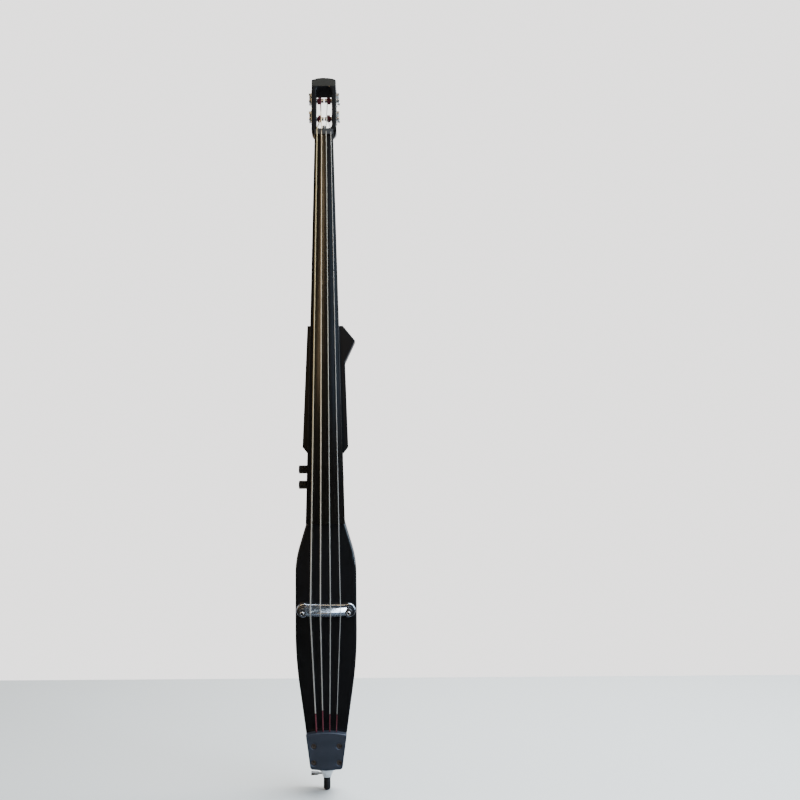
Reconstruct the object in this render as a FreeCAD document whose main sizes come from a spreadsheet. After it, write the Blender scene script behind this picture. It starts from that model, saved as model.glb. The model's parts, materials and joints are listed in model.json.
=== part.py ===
import FreeCAD, Part

import math
import os
import re

import Sketcher
from FreeCAD import Placement, Rotation, Vector

# Solid-body electric upright bass. Its own frame: +Z up along the strings, the front (strings) faces -Y,
# the low E side is -X, and the origin is the bottom of the endpin's rubber tip. Millimetres.

DIMENSIONS = {
    # Strings: nut to bridge is a 42 inch string length.
    "scale_length": 1067.0,
    "bridge_z": 388.0,
    "bridge_string_x": 32.3,
    "nut_string_x": 15.9,
    "tail_string_x": 21.6,
    "bridge_mid_y": -64.0,
    "bridge_outer_y": -60.0,
    "nut_mid_y": -38.4,
    "nut_outer_y": -37.7,
    "tail_string_y": -31.5,
    "tail_bend": 8.0,
    "string_bend_r": 8.0,
    "string_clear": 0.3,
    "string_e_r": 1.35,
    "string_a_r": 1.1,
    "string_d_r": 0.9,
    "string_g_r": 0.7,
    # Body.
    "body_front": -23.0,
    "body_back": 23.0,
    "bout_half": 67.3,
    "bout_low_z": 345.0,
    "bout_high_z": 465.0,
    "taper_z": 245.0,
    "taper_half": 61.3,
    "taper_curve_r": 836.0,
    "upper_z": 521.0,
    "upper_half": 59.6,
    "upper_curve_r": 206.0,
    "waist_half": 39.0,
    "waist_z": 590.0,
    "waist_top_z": 729.0,
    "body_low_z": 56.0,
    "body_round": 5.0,
    "tenon_half": 25.0,
    "tenon_front": -5.0,
    "tenon_back": 12.0,
    "tenon_top_z": 790.0,
    # Lower end of the body and the tail block.
    "tail_top_z": 127.0,
    "tail_crown": 5.6,
    "tail_crown_r": 175.7,
    "tail_corner": 3.5,
    "tail_top_half": 44.0,
    "tail_low_z": 60.0,
    "tail_low_half": 34.6,
    "tail_point_z": 54.0,
    "tail_front": -40.0,
    "tail_edge": 2.5,
    "tail_screw_x": 27.2,
    "tail_screw_high_z": 104.3,
    "tail_screw_low_z": 70.2,
    "tail_screw_r": 2.5,
    "tail_screw_head_r": 5.6,
    "tail_screw_back": 4.0,
    "tail_hex_r": 1.9,
    "tail_hex_deep": 2.0,
    "head_sunk": 2.2,
    "silk_room": 0.7,
    "ball_z": 88.0,
    "ball_r": 2.8,
    "ball_half": 2.5,
    # Shoulder block.
    "block_low_z": 729.0,
    "block_edge_z": 743.0,
    "block_low_half": 51.0,
    "block_top_z": 1016.0,
    "block_left_top": -39.5,
    "block_right_top": 40.5,
    "rest_tip_x": 68.0,
    "rest_tip_z": 982.0,
    "rest_root_x": 45.0,
    "rest_root_z": 933.0,
    "block_round": 2.5,
    "bolt_r": 3.0,
    "bolt_head_r": 6.0,
    "bolt_head_thick": 4.0,
    "neck_bolt_x": 13.0,
    "neck_bolt_low_z": 870.0,
    "neck_bolt_high_z": 970.0,
    "bolt_front": -20.0,
    "block_bolt_x": 14.0,
    "block_bolt_z": 762.0,
    # Neck, fingerboard, nut.
    "heel_half": 26.0,
    "heel_back": -2.5,
    "heel_low_z": 830.0,
    "board_end_z": 575.0,
    "board_end_half": 43.0,
    "board_nut_half": 21.3,
    "board_radius": 140.0,
    "board_nut_top": -36.5,
    "board_nut_under": -26.5,
    "board_end_top": -49.5,
    "board_end_under": -38.5,
    "board_overhang": 0.6,
    "neck_side": 2.4,
    "nut_thick": 12.0,
    "nut_side": -37.2,
    "truss_half": 3.0,
    "truss_front": -24.0,
    "truss_back": -13.0,
    "truss_low_z": 850.0,
    "truss_top_z": 1471.0,
    "truss_thread": 4.0,
    "truss_nut_r": 4.0,
    "truss_nut_end_z": 1482.0,
    # Slotted head.
    "head_low_z": 1447.0,
    "head_flare_z": 1478.0,
    "head_half": 28.2,
    "head_side_z": 1587.4,
    "head_crown_z": 1593.0,
    "head_crown_r": 73.8,
    "head_flare_r": 42.0,
    "head_back_z": 1494.0,
    "head_neck_y": -3.2,
    "head_back_r": 60.0,
    "head_front": -31.0,
    "head_back": 15.0,
    "slot_half": 18.2,
    "slot_low_z": 1472.0,
    "slot_top_z": 1571.0,
    "slot_corner": 9.0,
    # Tuning machines; built for +X, mirrored for -X.
    "post_y": -9.0,
    "post_low_z": 1504.0,
    "post_high_z": 1547.0,
    "post_r": 5.0,
    "post_end_x": 1.2,
    "coil_x": 8.0,
    "coil_wire_r": 1.6,
    "bush_r": 7.0,
    "bush_flange_r": 8.6,
    "bush_flange": 1.0,
    "plate_thick": 1.2,
    "plate_half": 10.0,
    "plate_below": 12.6,
    "plate_above": 21.0,
    "gear_r": 8.6,
    "gear_thick": 4.2,
    "gear_teeth": 20.0,
    "gear_notch": 1.4,
    "gear_notch_mouth": 0.8,
    "gear_notch_root": 0.3,
    "gear_cap_r": 3.4,
    "gear_cap": 1.4,
    "gear_gap": 0.4,
    "worm_rise": 11.5,
    "worm_x": 32.3,
    "worm_r": 2.6,
    "worm_core_r": 1.9,
    "worm_half": 6.0,
    "worm_rings": 5.0,
    "worm_ring": 1.2,
    "worm_pitch": 2.0,
    "worm_gap": 0.3,
    "worm_collar": 4.0,
    "worm_shaft_r": 1.6,
    "lug_half": 2.9,
    "lug_thick": 2.4,
    "stem_r": 2.4,
    "key_start": 9.0,
    "key_mid_y": 20.6,
    "key_end_y": 26.6,
    "key_lobe_r": 4.8,
    "key_lobe_z": 3.8,
    "key_thick": 4.6,
    "plate_screw_r": 1.1,
    "plate_screw_head_r": 2.0,
    "plate_screw_head": 1.2,
    "plate_screw_deep": 8.0,
    "plate_screw_inset": 2.8,
    "plate_screw_y": 7.2,
    # Electronics in the waist.
    "cavity_half": 33.0,
    "cavity_front": -12.0,
    "cavity_low_z": 628.0,
    "cavity_top_z": 716.0,
    "cavity_side_lip": 3.0,
    "cover_lip": 6.0,
    "cover_thick": 3.0,
    "volume_z": 693.4,
    "tone_z": 659.0,
    "pot_y": 4.0,
    "pot_r": 12.0,
    "pot_thick": 9.0,
    "pot_thread_r": 4.75,
    "pot_shaft_r": 3.0,
    "pot_shaft_in": 6.0,
    "pot_shaft_out": 16.0,
    "cover_screw_x": 27.0,
    "cover_screw_r": 1.25,
    "cover_screw_head_r": 2.4,
    "cover_screw_head": 1.4,
    "cover_screw_deep": 8.0,
    "board_left": -20.0,
    "board_right": 9.0,
    "board_low_z": 632.0,
    "board_top_z": 688.0,
    "board_y": -7.0,
    "board_thick": 1.6,
    "board_foot_r": 2.4,
    "battery_left": -20.0,
    "battery_wide": 26.5,
    "battery_y": 2.0,
    "battery_deep": 17.5,
    "battery_tall": 48.5,
    "battery_snap_x": 7.0,
    "battery_snap_r": 3.0,
    "battery_snap": 2.0,
    "knob_r": 9.3,
    "knob_start": 40.0,
    "knob_end": 61.0,
    "knob_round": 2.4,
    "jack_z": 676.0,
    "jack_r": 6.5,
    "jack_bore_r": 3.25,
    "jack_flange_r": 9.5,
    "jack_flange": 1.5,
    "jack_start": 12.0,
    "jack_floor": 3.0,
    "lead_r": 1.0,
    "lead_hole_r": 3.0,
    "lead_bend_r": 4.0,
    "lead_z": 398.0,
    "lead_y": -8.0,
    "lead_end_z": 631.0,
    "piezo_x": 28.0,
    "piezo_r": 9.0,
    "piezo_thick": 0.8,
    # Bridge.
    "base_top": -32.0,
    "base_half": 13.3,
    "base_end_r": 15.2,
    "post_spread": 49.5,
    "base_round": 3.0,
    "bridge_post_r": 4.5,
    "bridge_post_tip": -68.5,
    "bridge_journal_r": 3.9,
    "journal_back": -24.5,
    "hex_r": 2.3,
    "hex_deep": 5.0,
    "base_screw_x": 12.0,
    "base_screw_r": 1.75,
    "base_screw_head_r": 3.6,
    "base_screw_head": 2.0,
    "base_screw_back": -10.0,
    "bush_low": -43.0,
    "bush_high": -57.0,
    "bridge_bush_r": 7.4,
    "bar_low": -44.0,
    "bar_half": 45.0,
    "bar_low_z_half": 6.7,
    "bar_crest_z_half": 1.6,
    "bar_crown": -64.6,
    "bar_arch_r": 116.0,
    # Endpin.
    "pin_r": 5.0,
    "pin_low_z": 7.0,
    "pin_top_z": 335.0,
    "pin_bore_top_z": 345.0,
    "tip_r": 7.5,
    "tip_foot_r": 4.0,
    "tip_top_z": 26.0,
    "tip_round": 4.6,
    "tip_ring_z": 20.5,
    "tip_ring": 0.6,
    "collar_low_z": 27.5,
    "collar_low_r": 9.0,
    "collar_mid_r": 12.6,
    "collar_mid_z": 39.0,
    "collar_sweep_r": 15.0,
    "collar_wide_r": 20.0,
    "collar_wide_z": 49.5,
    "flange_r": 22.0,
    "socket_r": 8.0,
    "socket_top_z": 190.0,
    "thumb_z": 34.0,
    "thumb_r": 2.0,
    "thumb_start": 18.0,
    "thumb_end": 34.5,
    "thumb_inner": 1.4,
    "thumb_outer": 2.4,
    "thumb_half": 7.0,
    # Clearances: between pieces that stay together, and for a shaft that turns or slides.
    "fit_gap": 0.05,
    "run_gap": 0.06,
}

DOC = FreeCAD.newDocument("UprightBass")
SHEET = DOC.addObject("Spreadsheet::Sheet", "Sizes")
for row, (name, amount) in enumerate(DIMENSIONS.items(), start=1):
    SHEET.set(f"A{row}", name)
    SHEET.set(f"B{row}", str(amount))
    SHEET.setAlias(f"B{row}", name)
DOC.recompute()
PROBE = DOC.addObject("App::FeaturePython", "Probe")
PROBE.addProperty("App::PropertyFloat", "Amount")

NODES = {}
TURNS = {
    "x": Rotation(Vector(0, 1, 0), 90),
    "y": Rotation(Vector(1, 0, 0), -90),
    "z": Rotation(),
}


def formula(text):
    """A formula over the sheet's names, with each name turned into a reference to its cell."""

    def cell(match):
        return "Sizes." + match.group() if match.group() in DIMENSIONS else match.group()

    return re.sub(r"[a-z][a-z_0-9]*", cell, str(text))


def number(text):
    """What a formula comes to, worked out by the document."""
    PROBE.setExpression("Amount", formula(text))
    PROBE.recompute()
    return PROBE.Amount


def bind(item, **formulas):
    for name, text in formulas.items():
        item.setExpression(name, formula(text))


def place(item, x="0", y="0", z="0"):
    for axis, text in (("x", x), ("y", y), ("z", z)):
        item.setExpression(f".Placement.Base.{axis}", formula(text))


def box(x, y, z):
    """A box between pairs of formulas."""
    item = DOC.addObject("Part::Box", "Box")
    bind(item, Length=f"{x[1]} - ({x[0]})", Width=f"{y[1]} - ({y[0]})", Height=f"{z[1]} - ({z[0]})")
    place(item, x[0], y[0], z[0])
    return item


def rod(radius, axis, start, length):
    """A cylinder that runs along +axis from start."""
    item = DOC.addObject("Part::Cylinder", "Rod")
    item.Placement = Placement(Vector(), TURNS[axis])
    bind(item, Radius=radius, Height=length)
    place(item, *start)
    return item


def cone(radius_1, radius_2, axis, start, length):
    item = DOC.addObject("Part::Cone", "Cone")
    item.Placement = Placement(Vector(), TURNS[axis])
    bind(item, Radius1=radius_1, Radius2=radius_2, Height=length)
    place(item, *start)
    return item


def fuse(*pieces):
    item = DOC.addObject("Part::MultiFuse", "Fuse")
    item.Shapes = list(pieces)
    item.Refine = True
    return item


def common(*pieces):
    item = DOC.addObject("Part::MultiCommon", "Common")
    item.Shapes = list(pieces)
    return item


def cut(base, *tools):
    for tool in tools:
        item = DOC.addObject("Part::Cut", "Cut")
        item.Base = base
        item.Tool = tool
        base = item
    return base


def group(*pieces):
    """Separate solids in one node."""
    item = DOC.addObject("Part::Compound", "Group")
    item.Links = list(pieces)
    return item


def mirrored(source):
    item = DOC.addObject("Part::Mirroring", "Mirror")
    item.Source = source
    item.Normal = Vector(1, 0, 0)
    return item


def computed(shape):
    item = DOC.addObject("Part::Feature", "Computed")
    item.Shape = shape
    return item


def sketch(body, plane, outline, offset="0"):
    """A closed sketch on an origin plane. A corner is (x, y), or (x, y, radius) where an arc arrives at it;
    a negative radius bends the other way. Every corner and radius is bound to the sheet."""
    item = body.newObject("Sketcher::SketchObject", "Outline")
    item.AttachmentSupport = [(origin_plane(body, plane), "")]
    item.MapMode = "FlatFace"
    item.setExpression(".AttachmentOffset.Base.z", formula(offset))
    corners = [Vector(number(corner[0]), number(corner[1]), 0) for corner in outline]
    for index, corner in enumerate(outline):
        start = corners[index - 1]
        end = corners[index]
        if len(corner) == 3:
            radius = number(corner[2])
            edge = item.addGeometry(arc_between(start, end, radius), False)
            size = item.addConstraint(Sketcher.Constraint("Radius", edge, abs(radius)))
            item.setExpression(f"Constraints[{size}]", formula(f"abs({corner[2]})"))
        else:
            edge = item.addGeometry(Part.LineSegment(start, end), False)
        # An arc's first end is the one it leaves anticlockwise, so a clockwise arc is stored turned round.
        first, last = outline[index - 1], corner
        if len(corner) == 3 and number(corner[2]) < 0:
            first, last = last, first
        for point, target in ((1, first), (2, last)):
            for kind, text in (("DistanceX", target[0]), ("DistanceY", target[1])):
                rule = Sketcher.Constraint(kind, -1, 1, edge, point, number(text))
                item.setExpression(f"Constraints[{item.addConstraint(rule)}]", formula(text))
    return item


def arc_between(start, end, radius):
    """The minor arc from start to end, anticlockwise for a positive radius."""
    chord = end - start
    height = math.sqrt(radius**2 - (chord.Length / 2) ** 2)
    side = Vector(-chord.y, chord.x, 0).normalize()
    centre = (start + end) / 2 + side * math.copysign(height, radius)
    angles = [math.atan2(point.y - centre.y, point.x - centre.x) for point in (start, end)]
    if radius < 0:
        angles.reverse()
    circle = Part.Circle(centre, Vector(0, 0, 1), abs(radius))
    return Part.ArcOfCircle(circle, *angles)


def origin_plane(body, role):
    return next(item for item in body.Origin.OriginFeatures if item.Role == role)


def prism(plane, outline, start, length):
    """An outline on an origin plane, padded from start along the plane's normal; that of XZ_Plane is -Y."""
    body = DOC.addObject("PartDesign::Body", "Prism")
    pad = body.newObject("PartDesign::Pad", "Pad")
    pad.Profile = sketch(body, plane, outline, start)
    bind(pad, Length=length)
    return body


def spun(outline):
    """An outline on XZ_Plane, turned about Z."""
    body = DOC.addObject("PartDesign::Body", "Spun")
    turn = body.newObject("PartDesign::Revolution", "Turn")
    profile = sketch(body, "XZ_Plane", outline)
    turn.Profile = profile
    turn.ReferenceAxis = (profile, ["V_Axis"])
    turn.Angle = 360
    return body


def loft(*sections):
    """A loft between (outline, height) sections parallel to XY_Plane."""
    body = DOC.addObject("PartDesign::Body", "Loft")
    skin = body.newObject("PartDesign::AdditiveLoft", "Skin")
    profiles = [sketch(body, "XY_Plane", outline, height) for outline, height in sections]
    skin.Profile = profiles[0]
    skin.Sections = profiles[1:]
    skin.Ruled = True
    return body


def rounded(base, radius, wanted):
    """The base with the edges that wanted(edge) picks rounded."""
    DOC.recompute()
    item = DOC.addObject("Part::Fillet", "Fillet")
    item.Base = base
    size = number(radius)
    item.Edges = [(index, size, size) for index, edge in enumerate(base.Shape.Edges, start=1) if wanted(edge)]
    return item


def bevelled(base, width, wanted):
    DOC.recompute()
    item = DOC.addObject("Part::Chamfer", "Chamfer")
    item.Base = base
    size = number(width)
    item.Edges = [(index, size, size) for index, edge in enumerate(base.Shape.Edges, start=1) if wanted(edge)]
    return item


def in_plane(axis, *places):
    """A test for edges that lie in one of the planes at these places along an axis."""
    levels = [number(text) for text in places]

    def test(edge):
        low, high = (getattr(edge.BoundBox, axis.upper() + end) for end in ("Min", "Max"))
        return high - low < 0.01 and any(abs(low - level) < 0.01 for level in levels)

    return test


def node(name, item):
    item.Label = name
    NODES[name] = item
    return item


def mirror_outline(right_side):
    """A closed outline from its right side, listed from the bottom centre to the top centre. Every arc is
    mirrored with its corners, so the left side runs back down with each radius on the corner its arc arrives at."""
    left_side = []
    for index in range(len(right_side) - 1, -1, -1):
        corner = right_side[index]
        after = right_side[index + 1] if index + 1 < len(right_side) else ()
        radius = after[2:] if len(after) == 3 else ()
        left_side.append((f"-({corner[0]})", corner[1], *radius))
    return right_side + [corner for corner in left_side if corner[0] != "-(0)"]


# ---------------------------------------------------------------- strings

# Each string's place across the neck (-1 to 1), its height level, its tuner's row and its tuner's side.
STRINGS = {
    "e": ("-1", "outer", "low", -1),
    "a": ("-1/3", "mid", "high", -1),
    "d": ("1/3", "mid", "high", 1),
    "g": ("1", "outer", "low", 1),
}
NUT_Z = "(bridge_z + scale_length)"


def string_points(name):
    """A string's corners: ball end, above the tail block, bridge, the nut's two edges, its coil's front."""
    share, level, post, side = STRINGS[name]
    coil_front = f"post_y - post_r - 2*coil_wire_r - string_{name}_r - string_clear"
    corners = [
        (f"{share}*tail_string_x", "tail_string_y", "ball_z"),
        (f"{share}*tail_string_x", "tail_string_y", "tail_top_z + tail_bend"),
        (f"{share}*bridge_string_x", f"bridge_{level}_y", "bridge_z"),
        (f"{share}*nut_string_x", f"nut_{level}_y", NUT_Z),
        (f"{share}*nut_string_x", f"nut_{level}_y + 1", f"{NUT_Z} + nut_thick"),
        (f"{side}*coil_x", coil_front, f"post_{post}_z - string_bend_r / 2"),
    ]
    return [Vector(*(number(text) for text in corner)) for corner in corners]


def rounded_path(points, radius):
    """Straight runs joined by tangent arcs."""
    edges = []
    start = points[0]
    for before, corner, after in zip(points, points[1:], points[2:]):
        back = (before - corner).normalize()
        ahead = (after - corner).normalize()
        half_turn = (math.pi - back.getAngle(ahead)) / 2
        reach = radius * math.tan(half_turn)
        enter = corner + back * reach
        leave = corner + ahead * reach
        middle = corner + (back + ahead).normalize() * (radius / math.cos(half_turn) - radius)
        edges.append(Part.LineSegment(start, enter).toShape())
        edges.append(Part.Arc(enter, middle, leave).toShape())
        start = leave
    edges.append(Part.LineSegment(start, points[-1]).toShape())
    return Part.Wire(edges)


def tube(points, radius, bend):
    """A round solid along a path."""
    along = (points[1] - points[0]).normalize()
    ring = Part.Wire(Part.makeCircle(radius, points[0], along))
    return rounded_path(points, bend).makePipeShell([ring], True, False)


def string_tube(name, gap):
    return tube(string_points(name), number(f"string_{name}_r") + gap, number("string_bend_r"))


def make_strings():
    for name in STRINGS:
        foot = string_points(name)[0] - Vector(0, 0, number("ball_half"))
        ball = Part.makeCylinder(number("ball_r"), number("2*ball_half"), foot)
        node(f"string_{name}", computed(string_tube(name, 0).fuse(ball)))


# ---------------------------------------------------------------- body

BOUT = [
    ("0", "body_low_z"),
    ("tail_low_half - tail_corner", "body_low_z"),
    ("tail_low_half", "body_low_z + tail_corner"),
    ("tail_top_half", "tail_top_z"),
    ("taper_half", "taper_z"),
    ("bout_half", "bout_low_z", "taper_curve_r"),
    ("bout_half", "bout_high_z"),
    ("upper_half", "upper_z", "upper_curve_r"),
    ("waist_half", "waist_z"),
    ("waist_half", "waist_top_z"),
    ("0", "waist_top_z"),
]
BODY_DEPTH = ("-body_back", "body_back - body_front")
SIDES = ("-1", "1")
BLOCK_BOLTS = [
    (f"{side}*{x}", z)
    for side in SIDES
    for x, z in (
        ("block_bolt_x", "block_bolt_z"),
        ("neck_bolt_x", "neck_bolt_low_z"),
        ("neck_bolt_x", "neck_bolt_high_z"),
    )
]
COVER_SCREWS = [
    (f"{share}*cover_screw_x", height)
    for share in ("-1", "0", "1")
    for height in ("cavity_low_z - cover_lip/2", "cavity_top_z + cover_lip/2")
]
TAIL_SCREWS = [(f"{side}*tail_screw_x", f"tail_screw_{row}_z") for side in SIDES for row in ("low", "high")]


def make_body():
    blank = prism("XZ_Plane", mirror_outline(BOUT), *BODY_DEPTH)
    face_edge = in_plane("y", "body_front", "body_back")

    def edge_to_round(edge):
        reach = edge.BoundBox
        above_tail = reach.ZMin > number("tail_top_z") - 1
        return face_edge(edge) and above_tail and reach.ZMax < number("waist_top_z") - 1

    shaped = rounded(blank, "body_round", edge_to_round)
    tenon = box(
        ("-tenon_half", "tenon_half"), ("tenon_front", "tenon_back"), ("waist_top_z - 1", "tenon_top_z")
    )
    holes = [
        box(
            ("-cavity_half", "cavity_half"),
            ("cavity_front", "body_back + 1"),
            ("cavity_low_z", "cavity_top_z"),
        ),
        cover_blank("fit_gap", "1"),
        rod("socket_r + fit_gap", "z", ("0", "0", "body_low_z - 1"), "socket_top_z - body_low_z + 1.2"),
        rod("pin_r + 1", "z", ("0", "0", "body_low_z"), "pin_bore_top_z - body_low_z"),
        computed(tube(lead_points("1"), number("lead_hole_r"), number("lead_bend_r"))),
    ]
    jack_start = ("cavity_half - 1", "pot_y", "jack_z")
    holes.append(rod("jack_r + fit_gap", "x", jack_start, "waist_half - cavity_half + 2"))
    for height in ("volume_z", "tone_z"):
        start = ("-waist_half - 1", "pot_y", height)
        holes.append(rod("pot_thread_r + fit_gap", "x", start, "waist_half - cavity_half + 2"))
    for x, z in TAIL_SCREWS:
        start = (x, "body_front - 1", z)
        holes.append(rod("tail_screw_r + fit_gap", "y", start, "tail_screw_back - body_front + 1.5"))
    for side in SIDES:
        start = (f"{side}*block_bolt_x", "tenon_front - 1", "block_bolt_z")
        holes.append(rod("bolt_r + fit_gap", "y", start, "tenon_back - tenon_front + 2"))
        start = (f"{side}*piezo_x", "body_front - 1", "bridge_z")
        holes.append(rod("piezo_r + fit_gap", "y", start, "piezo_thick + 1"))
        start = (f"{side}*base_screw_x", "body_front - 1", "bridge_z")
        holes.append(rod("base_screw_r + fit_gap", "y", start, "base_screw_back - body_front + 1.5"))
    for x, z in COVER_SCREWS:
        start = (x, "body_back - cover_thick - cover_screw_deep - 0.5", z)
        holes.append(rod("cover_screw_r + fit_gap", "y", start, "cover_screw_deep + 1"))
    node("body", cut(fuse(shaped, tenon), *holes))


def cover_blank(growth, proud):
    """The cavity cover's plate, grown each way by growth and standing proud of the back."""
    return box(
        (f"-cavity_half - cavity_side_lip - {growth}", f"cavity_half + cavity_side_lip + {growth}"),
        ("body_back - cover_thick", f"body_back + {proud}"),
        (f"cavity_low_z - cover_lip - {growth}", f"cavity_top_z + cover_lip + {growth}"),
    )


def make_shoulder_block():
    outline = [
        ("-waist_half - 1", "block_low_z"),
        ("waist_half + 1", "block_low_z"),
        ("block_low_half", "block_edge_z"),
        ("rest_root_x", "rest_root_z"),
        ("rest_tip_x", "rest_tip_z"),
        ("block_right_top", "block_top_z"),
        ("block_left_top", "block_top_z"),
        ("-block_low_half", "block_edge_z"),
    ]
    blank = rounded(
        prism("XZ_Plane", outline, *BODY_DEPTH), "block_round", in_plane("y", "body_front", "body_back")
    )
    heel_room = box(
        ("-heel_half", "heel_half"), ("body_front - 1", "heel_back"), ("heel_low_z", "block_top_z + 1")
    )
    tenon_room = box(
        ("-tenon_half", "tenon_half"), ("tenon_front", "tenon_back"), ("block_low_z - 1", "tenon_top_z")
    )
    bolt_holes = [bolt(x, z, "fit_gap") for x, z in BLOCK_BOLTS]
    node("shoulder_block", cut(blank, heel_room, tenon_room, *bolt_holes))
    node("block_bolts", group(*(bolt(x, z) for x, z in BLOCK_BOLTS)))


def bolt(x, z, gap="0"):
    """A bolt put in from the back with its head sunk flush; with a gap, the hole that it goes in."""
    shank_length = f"body_back - bolt_front - 1 + {gap}"
    shank = rod(f"bolt_r + {gap}", "y", (x, f"bolt_front - {gap}", z), shank_length)
    head_start = (x, "body_back - bolt_head_thick", z)
    head = rod(f"bolt_head_r + {gap}", "y", head_start, f"bolt_head_thick + 20*{gap}")
    return fuse(shank, head)


# ---------------------------------------------------------------- neck, fingerboard, nut

def board_under(z):
    """The fingerboard's flat underside at a height: it rises towards the bridge."""
    rise = "(board_nut_under - board_end_under)"
    return f"(board_end_under + {rise}*({z} - board_end_z)/({NUT_Z} - board_end_z))"


def board_half(z):
    """Half the fingerboard's width at a height."""
    growth = "(board_nut_half - board_end_half)"
    return f"(board_end_half + {growth}*({z} - board_end_z)/({NUT_Z} - board_end_z))"


def crowned(half, under, top, radius):
    """A section with a flat back and an arched front."""
    side = f"{top} + {radius} - sqrt({radius}*{radius} - {half}*{half})"
    return [(f"-{half}", under), (f"-{half}", side), (half, side, radius), (half, under)]


def make_fingerboard():
    end = crowned("board_end_half", "board_end_under", "board_end_top", "board_radius")
    top = crowned("board_nut_half", "board_nut_under", "board_nut_top", "board_radius")
    node("fingerboard", loft((end, "board_end_z"), (top, NUT_Z)))


def neck_section(half, front):
    """A D-shaped section: flat under the fingerboard, short sides and a round back."""
    side = f"{front} + neck_side"
    return [
        (f"-{half}", front),
        (half, front),
        (half, side),
        ("0", f"{side} + {half}", half),
        (f"-{half}", side, half),
    ]


def flat_section(half, front):
    return [(f"-{half}", front), (half, front), (half, "body_front"), (f"-{half}", "body_front")]


def make_neck():
    heel_half = f"({board_half('block_top_z')} - board_overhang)"
    nut_half = "(board_nut_half - board_overhang/2)"
    end_half = "(board_end_half - board_overhang)"
    shaft = loft(
        (neck_section(heel_half, board_under("block_top_z")), "block_top_z"),
        (neck_section(nut_half, "board_nut_under"), NUT_Z),
    )
    tongue = loft(
        (flat_section(end_half, "board_end_under"), "board_end_z"),
        (flat_section(heel_half, board_under("block_top_z")), "block_top_z"),
    )
    heel = box(
        ("-heel_half", "heel_half"), ("body_front - 1", "heel_back"), ("heel_low_z", "block_top_z + 1")
    )
    holes = [
        box(("-truss_half", "truss_half"), ("board_end_under - 1", "truss_back"), ("truss_low_z", NUT_Z)),
        box(
            ("-head_half", "head_half"),
            ("board_end_under - 1", "head_back"),
            ("head_low_z", f"{NUT_Z} + 1"),
        ),
    ]
    for row in ("low", "high"):
        for side in SIDES:
            start = (f"{side}*neck_bolt_x", "bolt_front - fit_gap", f"neck_bolt_{row}_z")
            holes.append(rod("bolt_r + fit_gap", "y", start, "heel_back - bolt_front + 1"))
    node("neck", cut(fuse(shaft, tongue, heel), *holes))


def make_headstock():
    """The slotted head: its front outline and its side outline padded through each other, less the slot."""
    front = mirror_outline(
        [
            ("0", "head_low_z"),
            ("board_nut_half", "head_low_z"),
            ("head_half", "head_flare_z", "head_flare_r"),
            ("head_half", "head_side_z"),
            ("0", "head_crown_z", "head_crown_r"),
        ]
    )
    side = [
        ("board_nut_under", "head_low_z"),
        ("head_neck_y", "head_low_z"),
        ("head_back", "head_back_z", "-head_back_r"),
        ("head_back", "head_crown_z + 1"),
        ("head_front", "head_crown_z + 1"),
        ("head_front", f"{NUT_Z} + nut_thick"),
        ("board_nut_under", f"{NUT_Z} + nut_thick"),
    ]
    slot = mirror_outline(
        [
            ("0", "slot_low_z"),
            ("slot_half - slot_corner", "slot_low_z"),
            ("slot_half", "slot_low_z + slot_corner", "slot_corner"),
            ("slot_half", "slot_top_z - slot_corner"),
            ("slot_half - slot_corner", "slot_top_z", "slot_corner"),
            ("0", "slot_top_z"),
        ]
    )
    blank = common(
        prism("XZ_Plane", front, "-head_back - 1", "head_back - head_front + 2"),
        prism("YZ_Plane", side, "-head_half - 1", "2*head_half + 2"),
    )
    holes = [
        prism("XZ_Plane", slot, "-head_back - 1", "head_back - head_front + 2"),
        box(
            ("-truss_half", "truss_half"),
            ("truss_front", "truss_back"),
            ("head_low_z - 1", "slot_low_z + 1"),
        ),
    ]
    for row in ("low", "high"):
        start = ("-head_half - 1", "post_y", f"post_{row}_z")
        holes.append(rod("bush_r + fit_gap", "x", start, "2*head_half + 2"))
        for y, z in plate_screw_places(f"post_{row}_z"):
            for start_x in ("-head_half - 1", "head_half - plate_screw_deep - 0.5"):
                holes.append(rod("plate_screw_r + fit_gap", "x", (start_x, y, z), "plate_screw_deep + 1.5"))
    node("headstock", cut(blank, *holes))


def make_truss_rod():
    middle_y = "(truss_front + truss_back)/2"
    bar = box(("-truss_half", "truss_half"), ("truss_front", "truss_back"), ("truss_low_z", "truss_top_z"))
    thread = rod("truss_half - fit_gap", "z", ("0", middle_y, "truss_top_z - 1"), "truss_thread")
    adjuster_start = ("0", middle_y, "slot_low_z + 1")
    adjuster = rod("truss_nut_r", "z", adjuster_start, "truss_nut_end_z - slot_low_z - 1")
    node("truss_rod", fuse(bar, thread, adjuster))


def make_nut():
    outline = [
        ("-board_nut_half", "board_nut_under"),
        ("-board_nut_half", "nut_side"),
        ("board_nut_half", "nut_side", "board_radius"),
        ("board_nut_half", "board_nut_under"),
    ]
    blank = prism("XY_Plane", outline, NUT_Z, "nut_thick")
    grooves = [computed(string_tube(name, number("fit_gap"))) for name in STRINGS]
    node("nut", cut(blank, *grooves))


# ---------------------------------------------------------------- tuning machines

def plate_screw_places(post_z):
    low_z = f"{post_z} - plate_below + plate_screw_inset"
    return [
        ("post_y - plate_screw_y", low_z),
        ("post_y + plate_screw_y", low_z),
        ("post_y", f"{post_z} + plate_above - plate_screw_inset"),
    ]


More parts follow.
